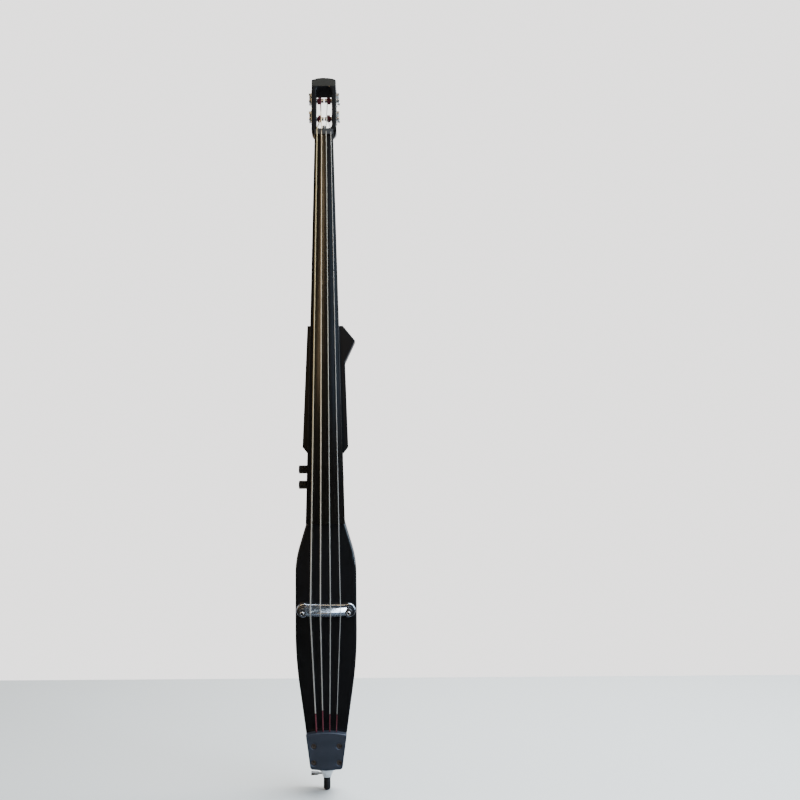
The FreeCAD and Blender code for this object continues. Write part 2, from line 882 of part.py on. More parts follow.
def tuner_plate(post_z):
    """The machine's base plate, with the two lugs that carry the worm's shaft."""
    worm_z = f"{post_z} + worm_rise"
    face = "head_half + plate_thick"
    plate = box(
        ("head_half", face),
        ("post_y - plate_half", "post_y + plate_half"),
        (f"{post_z} - plate_below", f"{post_z} + plate_above"),
    )
    lugs = []
    for low in ("post_y - worm_half - lug_thick", "post_y + worm_half"):
        lugs.append(
            box(
                (f"{face} - 0.5", "worm_x + lug_half"),
                (low, f"{low} + lug_thick"),
                (f"{worm_z} - lug_half", f"{worm_z} + lug_half"),
            )
        )
    holes = [
        rod("post_r + run_gap", "x", ("head_half - 1", "post_y", post_z), "plate_thick + 2"),
        rod("worm_shaft_r + run_gap", "y", ("worm_x", "post_y - 2*plate_half", worm_z), "4*plate_half"),
    ]
    for y, z in plate_screw_places(post_z):
        holes.append(rod("plate_screw_r + fit_gap", "x", ("head_half - 1", y, z), "plate_thick + 2"))
    return cut(fuse(plate, *lugs), *holes)


def toothed_gear():
    """A gear about X, centred on the origin: a disc with the same notch cut all round."""
    body = DOC.addObject("PartDesign::Body", "Gear")
    disc = body.newObject("PartDesign::Pad", "Disc")
    rim = circle_sketch(body, "gear_r")
    disc.Profile = rim
    bind(disc, Length="gear_thick")
    DOC.recompute()
    notch = body.newObject("PartDesign::Pocket", "Notch")
    notch.Profile = sketch(
        body,
        "YZ_Plane",
        [
            ("-gear_notch_mouth", "gear_r + 1"),
            ("-gear_notch_root", "gear_r - gear_notch"),
            ("gear_notch_root", "gear_r - gear_notch"),
            ("gear_notch_mouth", "gear_r + 1"),
        ],
    )
    notch.Type = "ThroughAll"
    notch.Midplane = True
    DOC.recompute()
    teeth = body.newObject("PartDesign::PolarPattern", "Teeth")
    teeth.Originals = [notch]
    teeth.Axis = (rim, ["N_Axis"])
    teeth.Angle = 360
    bind(teeth, Occurrences="gear_teeth")
    body.Tip = teeth
    return body


def circle_sketch(body, radius):
    """A circle about the origin of YZ_Plane."""
    item = body.newObject("Sketcher::SketchObject", "Circle")
    item.AttachmentSupport = [(origin_plane(body, "YZ_Plane"), "")]
    item.MapMode = "FlatFace"
    item.addGeometry(Part.Circle(Vector(), Vector(0, 0, 1), number(radius)), False)
    item.addConstraint(Sketcher.Constraint("Coincident", 0, 3, -1, 1))
    size = item.addConstraint(Sketcher.Constraint("Radius", 0, number(radius)))
    item.setExpression(f"Constraints[{size}]", formula(radius))
    return item


def tuner_post(post_z):
    """The string post with its gear, held on by a cap."""
    gear_start = "head_half + plate_thick + gear_gap"
    gear = toothed_gear()
    place(gear, gear_start, "post_y", post_z)
    shaft = rod("post_r", "x", ("post_end_x", "post_y", post_z), f"{gear_start} + 1 - post_end_x")
    cap = rod("gear_cap_r", "x", (f"{gear_start} + gear_thick - 0.5", "post_y", post_z), "gear_cap + 0.5")
    return fuse(shaft, gear, cap)


def string_coil(post_z):
    """The turns of string on a post, as touching rings."""
    rings = []
    for turn in range(3):
        ring = DOC.addObject("Part::Torus", "Ring")
        ring.Placement = Placement(Vector(), TURNS["x"])
        bind(ring, Radius1="post_r + coil_wire_r + fit_gap", Radius2="coil_wire_r")
        place(ring, f"coil_x + {turn}*(2*coil_wire_r + fit_gap)", "post_y", post_z)
        rings.append(ring)
    return group(*rings)


def tuner_worm(post_z):
    """The worm on its shaft, with the stem that the key is pressed on."""
    worm_z = f"{post_z} + worm_rise"
    front = "post_y - worm_half - lug_thick - 1.5"
    core_start = ("worm_x", "post_y - worm_half + worm_gap", worm_z)
    collar_start = ("worm_x", "post_y + worm_half + lug_thick + worm_gap", worm_z)
    pieces = [
        rod("worm_shaft_r", "y", ("worm_x", front, worm_z), f"key_start - ({front})"),
        rod("worm_core_r", "y", core_start, "2*worm_half - 2*worm_gap"),
        rod("stem_r", "y", collar_start, "worm_collar"),
    ]
    for index in range(int(number("worm_rings"))):
        start = f"post_y + worm_pitch*({index} - (worm_rings - 1)/2) - worm_ring/2"
        pieces.append(rod("worm_r", "y", ("worm_x", start, worm_z), "worm_ring"))
    return fuse(*pieces)


def tuner_key(post_z):
    """A three-lobed key, flat across the worm's shaft."""
    worm_z = f"{post_z} + worm_rise"
    x = "worm_x - key_thick/2"
    lobes = [
        rod("key_lobe_r", "x", (x, "key_mid_y", f"{worm_z} - key_lobe_z"), "key_thick"),
        rod("key_lobe_r", "x", (x, "key_mid_y", f"{worm_z} + key_lobe_z"), "key_thick"),
        rod("key_lobe_r", "x", (x, "key_end_y", worm_z), "key_thick"),
        rod("stem_r", "y", ("worm_x", "key_start", worm_z), "key_mid_y - key_start"),
    ]
    return fuse(*lobes)


def make_tuners():
    for name, (_, _, row, side) in STRINGS.items():
        post_z = f"post_{row}_z"
        for label, piece in (
            (f"tuner_plate_{name}", tuner_plate(post_z)),
            (f"tuner_post_{name}", tuner_post(post_z)),
            (f"string_coil_{name}", string_coil(post_z)),
            (f"tuner_worm_{name}", tuner_worm(post_z)),
            (f"tuner_key_{name}", tuner_key(post_z)),
        ):
            node(label, piece if side > 0 else mirrored(piece))
    bushes = []
    screws = []
    for row in ("low", "high"):
        post_z = f"post_{row}_z"
        sleeve = rod("bush_r", "x", ("slot_half", "post_y", post_z), "head_half - slot_half")
        flange = rod("bush_flange_r", "x", ("slot_half - bush_flange", "post_y", post_z), "bush_flange")
        bore_start = ("slot_half - 3", "post_y", post_z)
        bore = rod("post_r + run_gap", "x", bore_start, "head_half - slot_half + 5")
        bush = cut(fuse(sleeve, flange), bore)
        bushes += [bush, mirrored(bush)]
        for y, z in plate_screw_places(post_z):
            shank_start = ("head_half - plate_screw_deep", y, z)
            shank = rod("plate_screw_r", "x", shank_start, "plate_screw_deep + plate_thick + 0.5")
            head = rod("plate_screw_head_r", "x", ("head_half + plate_thick", y, z), "plate_screw_head")
            screw = fuse(shank, head)
            screws += [screw, mirrored(screw)]
    node("tuner_bushes", group(*bushes))
    node("tuner_screws", group(*screws))


# ---------------------------------------------------------------- bridge

def base_foot(side):
    return (f"{side}*post_spread", "bridge_z")


def make_bridge_base():
    thick = "body_front - base_top"
    bar = box(
        ("-post_spread", "post_spread"),
        ("base_top", "body_front"),
        ("bridge_z - base_half", "bridge_z + base_half"),
    )
    ends = [rod("base_end_r", "y", (x, "base_top", z), thick) for x, z in map(base_foot, SIDES)]
    shaped = rounded(fuse(bar, *ends), "base_round", in_plane("y", "base_top"))
    holes = [
        rod("bridge_journal_r + run_gap", "y", (x, "base_top - 1", z), "journal_back - base_top + 1.3")
        for x, z in map(base_foot, SIDES)
    ]
    for side in SIDES:
        x = f"{side}*base_screw_x"
        holes.append(rod("base_screw_r + fit_gap", "y", (x, "base_top - 1", "bridge_z"), f"{thick} + 2"))
        start = (x, "base_top - 1", "bridge_z")
        holes.append(rod("base_screw_head_r + fit_gap", "y", start, "base_screw_head + 1 + fit_gap"))
    node("bridge_base", cut(shaped, *holes))
    screws = []
    for side in SIDES:
        x = f"{side}*base_screw_x"
        shank = rod("base_screw_r", "y", (x, "base_top", "bridge_z"), "base_screw_back - base_top")
        head = rod("base_screw_head_r", "y", (x, "base_top", "bridge_z"), "base_screw_head")
        screws.append(fuse(shank, head))
    node("bridge_screws", group(*screws))


def hexagon(x, z, radius):
    corners = []
    for index in range(6):
        angle = math.radians(60 * index)
        corners.append((f"{x} + {math.cos(angle):.6f}*{radius}", f"{z} + {math.sin(angle):.6f}*{radius}"))
    return corners


def make_bridge_posts():
    for name, side in zip("eg", SIDES):
        x, z = base_foot(side)
        journal = rod("bridge_journal_r", "y", (x, "base_top - 1", z), "journal_back - base_top + 1")
        shank = rod("bridge_post_r", "y", (x, "bridge_post_tip", z), "base_top - 0.3 - bridge_post_tip")
        socket = prism("XZ_Plane", hexagon(x, z, "hex_r"), "-bridge_post_tip - hex_deep", "hex_deep + 1")
        node(f"bridge_post_{name}", cut(fuse(journal, shank), socket))


def make_bridge_bar():
    """The saddle that the strings cross: an arched blade, hollowed at its ends round the posts' bushes."""
    arch = crowned("bar_half", "bar_low", "bar_crown", "bar_arch_r")
    blade = [
        ("bar_crown - 2", "bridge_z - bar_crest_z_half"),
        ("bar_low", "bridge_z - bar_low_z_half"),
        ("bar_low", "bridge_z + bar_low_z_half"),
        ("bar_crown - 2", "bridge_z + bar_crest_z_half"),
    ]
    blank = common(
        prism("XY_Plane", arch, "bridge_z - bar_low_z_half", "2*bar_low_z_half"),
        prism("YZ_Plane", blade, "-bar_half", "2*bar_half"),
    )
    holes = [
        rod("bridge_bush_r + fit_gap", "y", (x, "bar_crown - 5", z), "40") for x, z in map(base_foot, SIDES)
    ]
    holes += [computed(string_tube(name, number("string_clear"))) for name in STRINGS]
    node("bridge_bar", cut(blank, *holes))
    bushes = []
    for x, z in map(base_foot, SIDES):
        ring = rod("bridge_bush_r", "y", (x, "bush_high", z), "bush_low - bush_high")
        bore = rod("bridge_post_r + run_gap", "y", (x, "bush_high - 1", z), "bush_low - bush_high + 2")
        bushes.append(cut(ring, bore))
    node("bridge_bushes", group(*bushes))


# ---------------------------------------------------------------- electronics

def make_controls():
    for name in ("volume", "tone"):
        height = f"{name}_z"
        centre = ("-cavity_half", "pot_y", height)
        case = rod("pot_r", "x", centre, "pot_thick")
        thread = rod("pot_thread_r", "x", ("-waist_half", "pot_y", height), "waist_half - cavity_half + 1")
        bore_start = ("-waist_half - 1", "pot_y", height)
        bore = rod("pot_shaft_r + run_gap", "x", bore_start, "waist_half - cavity_half + pot_shaft_in + 1")
        node(f"{name}_pot", cut(fuse(case, thread), bore))
        shaft_start = ("-waist_half - pot_shaft_out", "pot_y", height)
        shaft_length = "waist_half + pot_shaft_out - cavity_half + pot_shaft_in - 0.5"
        node(f"{name}_shaft", rod("pot_shaft_r", "x", shaft_start, shaft_length))
        blank = rod("knob_r", "x", ("-knob_end", "pot_y", height), "knob_end - knob_start")
        shaped = rounded(blank, "knob_round", in_plane("x", "-knob_end"))
        knob_bore_start = ("-waist_half - pot_shaft_out - 0.3", "pot_y", height)
        knob_bore = rod("pot_shaft_r + fit_gap", "x", knob_bore_start, "pot_shaft_out + 1")
        node(f"{name}_knob", cut(shaped, knob_bore))


def make_electronics():
    screw_holes = [cover_screw(x, z, "fit_gap") for x, z in COVER_SCREWS]
    node("cavity_cover", cut(cover_blank("0", "0"), *screw_holes))
    node("cover_screws", group(*(cover_screw(x, z, "0") for x, z in COVER_SCREWS)))
    plate = box(
        ("board_left", "board_right"), ("board_y", "board_y + board_thick"), ("board_low_z", "board_top_z")
    )
    feet = [
        rod("board_foot_r", "y", (x, "cavity_front", z), "board_y - cavity_front + 0.5")
        for x in ("board_left + 4", "board_right - 4")
        for z in ("board_low_z + 4", "board_top_z - 4")
    ]
    chips = [
        box((x, f"{x} + 6"), ("board_y + board_thick - 0.2", "board_y + board_thick + 2"), (z, f"{z} + 9"))
        for x in ("board_left + 4", "board_left + 14")
        for z in ("board_low_z + 12", "board_low_z + 30")
    ]
    node("preamp_board", fuse(plate, *feet, *chips))
    case = box(
        ("battery_left", "battery_left + battery_wide"),
        ("battery_y", "battery_y + battery_deep"),
        ("board_low_z", "board_low_z + battery_tall"),
    )
    snaps = []
    for offset in ("battery_snap_x", "battery_wide - battery_snap_x"):
        top = "board_low_z + battery_tall"
        start = (f"battery_left + {offset}", "battery_y + battery_deep/2", f"{top} - 1")
        snaps.append(rod("battery_snap_r", "z", start, "battery_snap + 1"))
    node("battery", fuse(case, *snaps))
    barrel = rod("jack_r", "x", ("jack_start", "pot_y", "jack_z"), "waist_half - jack_start + 0.5")
    flange = rod("jack_flange_r", "x", ("waist_half", "pot_y", "jack_z"), "jack_flange")
    bore = rod("jack_bore_r", "x", ("jack_start + jack_floor", "pot_y", "jack_z"), "waist_half")
    node("output_jack", cut(fuse(barrel, flange), bore))
    disc_places = [(f"{side}*piezo_x", "body_front", "bridge_z") for side in SIDES]
    node("piezo_discs", group(*(rod("piezo_r", "y", spot, "piezo_thick") for spot in disc_places)))
    node("pickup_lead", computed(tube(lead_points("-0.3"), number("lead_r"), number("lead_bend_r"))))


def cover_screw(x, z, gap):
    shank_start = (x, f"body_back - cover_thick - cover_screw_deep - {gap}", z)
    shank = rod(f"cover_screw_r + {gap}", "y", shank_start, f"cover_thick + cover_screw_deep - 0.5 + {gap}")
    head_start = (x, "body_back - cover_screw_head", z)
    head = rod(f"cover_screw_head_r + {gap}", "y", head_start, f"cover_screw_head + 20*{gap}")
    return fuse(shank, head)


def lead_points(proud):
    """The pickup's lead: in through the top behind the bridge base, then up to the cavity."""
    corners = [
        ("0", f"body_front - {proud}", "lead_z"),
        ("0", "lead_y", "lead_z"),
        ("0", "lead_y", "lead_end_z"),
    ]
    return [Vector(*(number(text) for text in corner)) for corner in corners]


# ---------------------------------------------------------------- tail block and endpin

def make_tail():
    outline = mirror_outline(
        [
            ("0", "tail_point_z"),
            ("tail_low_half - tail_corner", "tail_low_z - tail_corner"),
            ("tail_low_half", "tail_low_z"),
            ("tail_top_half", "tail_top_z"),
            ("0", "tail_top_z + tail_crown", "tail_crown_r"),
        ]
    )
    blank = prism("XZ_Plane", outline, "-body_front", "body_front - tail_front")
    shaped = bevelled(blank, "tail_edge", in_plane("y", "tail_front"))
    holes = []
    for name, (share, _, _, _) in STRINGS.items():
        x = f"{share}*tail_string_x"
        bore_start = (x, "tail_string_y", "ball_z")
        bore_length = "tail_top_z + tail_crown + 3 - ball_z"
        holes.append(rod(f"string_{name}_r + silk_room", "z", bore_start, bore_length))
        seat_start = (x, "tail_string_y", "tail_point_z - 2")
        seat_length = "ball_z + ball_half + 0.3 - tail_point_z + 2"
        holes.append(rod("ball_r + fit_gap", "z", seat_start, seat_length))
    holes += [tail_screw(x, z, "fit_gap") for x, z in TAIL_SCREWS]
    node("tail_block", cut(shaped, *holes))
    screws = []
    for x, z in TAIL_SCREWS:
        socket_start = "-tail_front - head_sunk - tail_hex_deep"
        socket = prism("XZ_Plane", hexagon(x, z, "tail_hex_r"), socket_start, "tail_hex_deep + 3")
        screws.append(cut(tail_screw(x, z, "0"), socket))
    node("tail_screws", group(*screws))


def tail_screw(x, z, gap):
    """A countersunk screw a little below the front; with a gap, its hole."""
    top = "tail_front + head_sunk"
    head_length = "tail_screw_head_r - tail_screw_r"
    head = cone(f"tail_screw_head_r + {gap}", f"tail_screw_r + {gap}", "y", (x, top, z), head_length)
    shank = rod(f"tail_screw_r + {gap}", "y", (x, top, z), f"tail_screw_back - ({top}) + {gap}")
    mouth = rod(f"tail_screw_head_r + {gap}", "y", (x, f"{top} - 60*{gap} - 0.01", z), f"60*{gap} + 0.02")
    return fuse(head, shank, mouth)


def make_endpin():
    node("endpin_rod", rod("pin_r", "z", ("0", "0", "pin_low_z"), "pin_top_z - pin_low_z"))
    tip = [
        ("0", "0"),
        ("tip_foot_r", "0"),
        ("tip_r", "tip_round", "tip_round"),
        ("tip_r", "tip_ring_z"),
        ("tip_r - tip_ring", "tip_ring_z + tip_ring"),
        ("tip_r", "tip_ring_z + 2*tip_ring"),
        ("tip_r", "tip_top_z - 1"),
        ("tip_r - 1", "tip_top_z"),
        ("pin_r + fit_gap", "tip_top_z"),
        ("pin_r + fit_gap", "pin_low_z"),
        ("0", "pin_low_z"),
    ]
    node("endpin_tip", spun(tip))
    collar = [
        ("pin_r + run_gap", "collar_low_z"),
        ("collar_low_r", "collar_low_z"),
        ("collar_mid_r", "collar_mid_z"),
        ("collar_wide_r", "collar_wide_z", "-collar_sweep_r"),
        ("flange_r", "collar_wide_z + 2"),
        ("flange_r", "body_low_z"),
        ("pin_r + run_gap", "body_low_z"),
    ]
    screw_hole = rod("thumb_r + run_gap", "x", ("-flange_r", "0", "thumb_z"), "flange_r")
    node("endpin_collar", cut(spun(collar), screw_hole))
    socket = rod("socket_r", "z", ("0", "0", "body_low_z"), "socket_top_z - body_low_z")
    bore = rod("pin_r + run_gap", "z", ("0", "0", "body_low_z - 1"), "socket_top_z")
    node("endpin_socket", cut(socket, bore))
    wing = [
        ("-thumb_end", "thumb_z - thumb_outer"),
        ("-thumb_start", "thumb_z - thumb_inner"),
        ("-thumb_start", "thumb_z + thumb_inner"),
        ("-thumb_end", "thumb_z + thumb_outer"),
    ]
    paddle = prism("XZ_Plane", wing, "-thumb_half", "2*thumb_half")
    shank_start = ("-thumb_start - 1", "0", "thumb_z")
    shank = rod("thumb_r", "x", shank_start, "thumb_start + 1 - pin_r - string_clear")
    node("thumb_screw", fuse(paddle, shank))


# ---------------------------------------------------------------- build, check, export

def check_and_export():
    DOC.recompute()
    failed = [item.Name for item in DOC.Objects if {"Invalid", "Error"} & set(item.State)]
    if failed:
        raise RuntimeError(f"objects that failed: {failed}")
    os.makedirs("parts", exist_ok=True)
    for name, item in NODES.items():
        shape = item.Shape
        if shape.isNull() or not shape.isValid() or not shape.Solids:
            raise RuntimeError(f"{name} has no valid solid")
    for name, item in NODES.items():
        item.Shape.exportStep(f"parts/{name}.step")
        print(f"{name}: {len(item.Shape.Solids)} solids, {item.Shape.Volume / 1000:.2f} cm3")


make_strings()
make_body()
make_shoulder_block()
make_fingerboard()
make_neck()
make_headstock()
make_truss_rod()
make_nut()
make_tuners()
make_bridge_base()
make_bridge_posts()
make_bridge_bar()
make_controls()
make_electronics()
make_tail()
make_endpin()
check_and_export()
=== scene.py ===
import json
import math

import bmesh
import bpy
from mathutils import Matrix, Quaternion, Vector


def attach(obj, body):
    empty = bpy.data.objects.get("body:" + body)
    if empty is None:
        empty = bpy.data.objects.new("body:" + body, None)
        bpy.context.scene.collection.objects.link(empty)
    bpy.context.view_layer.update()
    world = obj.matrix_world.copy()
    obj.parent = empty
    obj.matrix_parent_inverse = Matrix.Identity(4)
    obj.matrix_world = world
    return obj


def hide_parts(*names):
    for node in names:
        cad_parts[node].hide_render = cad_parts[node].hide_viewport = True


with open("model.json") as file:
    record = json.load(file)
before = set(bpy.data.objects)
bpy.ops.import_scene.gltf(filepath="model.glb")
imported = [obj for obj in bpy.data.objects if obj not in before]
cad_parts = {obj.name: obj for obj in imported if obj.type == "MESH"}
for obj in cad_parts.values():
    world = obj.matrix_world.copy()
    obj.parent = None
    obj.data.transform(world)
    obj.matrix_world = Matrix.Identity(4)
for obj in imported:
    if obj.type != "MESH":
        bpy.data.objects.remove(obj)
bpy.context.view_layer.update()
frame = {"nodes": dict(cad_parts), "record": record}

NODES = frame["nodes"]
BODY_OF = {node: body for body, nodes in frame["record"]["behaviour"]["bodies"].items() for node in nodes}
SLOT_OF = {item["node"]: item["material_slot"] for item in frame["record"]["subparts"]}
MM = 0.001
BODY_FRONT = -23.0

# ---------------------------------------------------------------- camera

CAMERA_PLACE = (0.06, -1.694, 0.716)
CAMERA_TILT_UP = math.radians(4.5)
CAMERA_ROLL = math.radians(-0.4)
CAMERA_LENS_MM = 33.75
CAMERA_SHIFT_X = 0.06


def make_camera():
    data = bpy.data.cameras.new("camera")
    data.lens = CAMERA_LENS_MM
    data.sensor_width = 36.0
    data.shift_x = CAMERA_SHIFT_X
    data.clip_start = 0.01
    camera = bpy.data.objects.new("camera", data)
    upright = Matrix.Rotation(math.radians(90) + CAMERA_TILT_UP, 4, "X")
    camera.matrix_world = Matrix.Translation(CAMERA_PLACE) @ upright @ Matrix.Rotation(CAMERA_ROLL, 4, "Z")
    bpy.context.scene.collection.objects.link(camera)
    bpy.context.scene.camera = camera


# ---------------------------------------------------------------- stage and light

FLOOR_X = 3.5
FLOOR_FRONT = -3.5
FLOOR_BACK = 0.83


def make_floor():
    front = [(-FLOOR_X, FLOOR_FRONT, 0), (FLOOR_X, FLOOR_FRONT, 0)]
    back = [(FLOOR_X, FLOOR_BACK, 0), (-FLOOR_X, FLOOR_BACK, 0)]
    mesh = bpy.data.meshes.new("floor")
    mesh.from_pydata(front + back, [], [(0, 1, 2, 3)])
    floor = bpy.data.objects.new("floor", mesh)
    bpy.context.scene.collection.objects.link(floor)
    paint = Paint("floor_pale", (0.72, 0.74, 0.72), roughness=0.65)
    paint.bump(paint.noise(40.0, detail=4.0), 0.05, 0.001)
    floor.data.materials.append(paint.material)
    floor.visible_glossy = False


def make_world():
    """Pale for the eye. In reflections, a room dark in front, lighter behind, and pale straight down."""
    world = bpy.data.worlds.new("studio")
    bpy.context.scene.world = world
    world.use_nodes = True
    tree = world.node_tree
    tree.nodes.clear()
    output = tree.nodes.new("ShaderNodeOutputWorld")
    path = tree.nodes.new("ShaderNodeLightPath")
    seen = tree.nodes.new("ShaderNodeBackground")
    seen.inputs["Color"].default_value = (0.83, 0.81, 0.80, 1)
    seen.inputs["Strength"].default_value = 2.75
    lit = tree.nodes.new("ShaderNodeBackground")
    place = tree.nodes.new("ShaderNodeTexCoord")
    split = tree.nodes.new("ShaderNodeSeparateXYZ")
    ramp = tree.nodes.new("ShaderNodeValToRGB")
    steps = ramp.color_ramp.elements
    steps[0].position = 0.50
    steps[0].color = (0.012, 0.012, 0.014, 1)
    steps[1].position = 1.0
    steps[1].color = (1.0, 1.0, 1.02, 1)
    middle = steps.new(0.62)
    middle.color = (0.16, 0.16, 0.17, 1)
    shift = tree.nodes.new("ShaderNodeMapRange")
    shift.inputs["From Min"].default_value = -1.0
    down = tree.nodes.new("ShaderNodeMapRange")
    down.inputs["From Min"].default_value = -0.88
    down.inputs["From Max"].default_value = -0.97
    below = tree.nodes.new("ShaderNodeMix")
    below.data_type = "RGBA"
    below.inputs[7].default_value = (0.62, 0.70, 0.80, 1)
    mix = tree.nodes.new("ShaderNodeMixShader")
    tree.links.new(place.outputs["Generated"], split.inputs[0])
    tree.links.new(split.outputs["Z"], down.inputs["Value"])
    tree.links.new(down.outputs[0], below.inputs["Factor"])
    tree.links.new(split.outputs["Y"], shift.inputs["Value"])
    tree.links.new(shift.outputs[0], ramp.inputs["Fac"])
    tree.links.new(ramp.outputs[0], below.inputs[6])
    tree.links.new(below.outputs[2], lit.inputs["Color"])
    tree.links.new(path.outputs["Is Camera Ray"], mix.inputs[0])
    tree.links.new(lit.outputs[0], mix.inputs[1])
    tree.links.new(seen.outputs[0], mix.inputs[2])
    tree.links.new(mix.outputs[0], output.inputs[0])


def area_light(name, place, target, size, power, colour, lean=0.0):
    data = bpy.data.lights.new(name, "AREA")
    data.shape = "RECTANGLE"
    data.size, data.size_y = size
    data.energy = power
    data.color = colour
    lamp = bpy.data.objects.new(name, data)
    lamp.location = place
    aim = (Vector(target) - Vector(place)).to_track_quat("-Z", "Y")
    lamp.rotation_euler = (aim @ Quaternion((0, 0, 1), math.radians(lean))).to_euler()
    bpy.context.scene.collection.objects.link(lamp)


def make_lights():
    middle = (0.0, 0.0, 0.8)
    area_light("window_right", (2.6, -0.9, 1.4), middle, (1.4, 2.2), 80.0, (0.70, 0.84, 1.0))
    area_light("doorway", (-0.66, -4.2, 1.8), (0, 0, 1.1), (0.28, 2.9), 22.0, (1.0, 0.70, 0.38), lean=-18)
    area_light("cool_front", (1.7, -3.6, 1.5), middle, (1.8, 2.8), 17.0, (0.42, 0.68, 1.0))
    area_light("high_front", (-0.1, -1.9, 3.0), (0, 0, 1.58), (1.2, 0.45), 1.5, (1.0, 1.0, 0.82))
    area_light("fill_left", (-2.6, -0.7, 1.4), middle, (1.6, 2.4), 14.0, (1.0, 0.90, 0.80))
    area_light("ceiling", (1.35, -0.4, 3.2), (0.3, 0, 0.4), (2.6, 1.8), 130.0, (0.80, 0.90, 1.0))
    area_light("over_floor", (0.9, 0.55, 2.6), (0.8, 0.3, 0), (2.8, 0.8), 110.0, (1.0, 1.0, 1.0))


# ---------------------------------------------------------------- materials

class Paint:
    """A Principled material whose colour, roughness and bump are built up from procedural patterns."""

    def __init__(self, name, colour, roughness=0.5, metallic=0.0, coat=0.0, coat_roughness=0.05, sheen=0.0):
        self.material = bpy.data.materials.new(name)
        self.material.use_nodes = True
        self.nodes = self.material.node_tree.nodes
        self.links = self.material.node_tree.links
        self.shader = self.nodes["Principled BSDF"]
        self.place = self.nodes.new("ShaderNodeTexCoord").outputs["Object"]
        self.bump_out = None
        self.shader.inputs["Base Color"].default_value = (*colour, 1)
        self.shader.inputs["Roughness"].default_value = roughness
        self.shader.inputs["Metallic"].default_value = metallic
        self.shader.inputs["Coat Weight"].default_value = coat
        self.shader.inputs["Coat Roughness"].default_value = coat_roughness
        self.shader.inputs["Sheen Weight"].default_value = sheen

    def scaled(self, scale):
        """The object's own place, scaled by a number or by (x, y, z)."""
        if isinstance(scale, (int, float)):
            scale = (scale, scale, scale)
        node = self.nodes.new("ShaderNodeMapping")
        node.inputs["Scale"].default_value = scale
        self.links.new(self.place, node.inputs["Vector"])
        return node.outputs[0]

    def noise(self, scale, detail=3.0, distortion=0.0):
        node = self.nodes.new("ShaderNodeTexNoise")
        node.inputs["Scale"].default_value = 1.0
        node.inputs["Detail"].default_value = detail
        node.inputs["Distortion"].default_value = distortion
        self.links.new(self.scaled(scale), node.inputs["Vector"])
        return node.outputs["Fac"]

    def bands(self, scale, direction="Z", distortion=0.0, detail=0.0):
        node = self.nodes.new("ShaderNodeTexWave")
        node.bands_direction = direction
        node.inputs["Scale"].default_value = scale
        node.inputs["Distortion"].default_value = distortion
        node.inputs["Detail"].default_value = detail
        self.links.new(self.place, node.inputs["Vector"])
        return node.outputs["Fac"]

    def remap(self, value, low, high, start=0.0, end=1.0):
        node = self.nodes.new("ShaderNodeMapRange")
        node.inputs["From Min"].default_value = start
        node.inputs["From Max"].default_value = end
        node.inputs["To Min"].default_value = low
        node.inputs["To Max"].default_value = high
        self.links.new(value, node.inputs["Value"])
        return node.outputs[0]

    def blend(self, value, first, second):
        """A colour between two, by value; either may be a colour or another output."""
        node = self.nodes.new("ShaderNodeMix")
        node.data_type = "RGBA"
        self.links.new(value, node.inputs["Factor"])
        for socket, colour in ((node.inputs[6], first), (node.inputs[7], second)):
            if isinstance(colour, tuple):
                socket.default_value = (*colour, 1)
            else:
                self.links.new(colour, socket)
        return node.outputs[2]

    def mottle(self, value, colour, low, high):
        """The colour, darker or lighter by value, between low and high times itself."""
        dark = tuple(low * part for part in colour)
        pale = tuple(high * part for part in colour)
        self.colour(self.blend(value, dark, pale))

    def colour(self, output):
        self.links.new(output, self.shader.inputs["Base Color"])

    def roughness(self, output):
        self.links.new(output, self.shader.inputs["Roughness"])

    def bump(self, height, strength, distance):
        node = self.nodes.new("ShaderNodeBump")
        node.inputs["Strength"].default_value = strength
        node.inputs["Distance"].default_value = distance
        self.links.new(height, node.inputs["Height"])
        if self.bump_out is not None:
            self.links.new(self.bump_out, node.inputs["Normal"])
        self.bump_out = node.outputs[0]
        self.links.new(self.bump_out, self.shader.inputs["Normal"])


def lacquer():
    """High-gloss black: a dark ground under a clear coat with faint orange peel and a few wiped marks."""
    paint = Paint("lacquer_black", (0.004, 0.004, 0.005), 0.45, coat=1.0, coat_roughness=0.02)
    smudges = paint.noise(9.0, detail=5.0, distortion=0.6)
    paint.colour(paint.blend(smudges, (0.0025, 0.0025, 0.0032), (0.005, 0.005, 0.006)))
    paint.roughness(paint.remap(smudges, 0.35, 0.6))
    paint.shader.inputs["Specular IOR Level"].default_value = 0.2
    wiped = paint.noise((30.0, 30.0, 4.0), detail=6.0, distortion=0.4)
    paint.links.new(paint.remap(wiped, 0.015, 0.05, 0.45, 0.8), paint.shader.inputs["Coat Roughness"])
    paint.bump(paint.noise(260.0, detail=2.0), 0.02, 0.0005)
    return paint.material


def satin_black(name="lacquer_satin", colour=(0.012, 0.012, 0.013)):
    paint = Paint(name, colour, 0.42, coat=0.05, coat_roughness=0.35)
    paint.shader.inputs["Specular IOR Level"].default_value = 0.2
    cloud = paint.noise(14.0, detail=5.0)
    paint.mottle(cloud, colour, 0.7, 1.2)
    paint.roughness(paint.remap(cloud, 0.34, 0.52))
    paint.bump(paint.noise(900.0, detail=2.0), 0.06, 0.0003)
    return paint.material


def slot_black():
    """The unpolished inside of the head's slot, and also the painted shade at the bottom of each bridge
    post's socket.
    """
    paint = Paint("slot_black", (0.006, 0.006, 0.007), 0.85)
    paint.shader.inputs["Specular IOR Level"].default_value = 0.15
    paint.bump(paint.noise((900.0, 900.0, 60.0), detail=3.0), 0.1, 0.0003)
    return paint.material


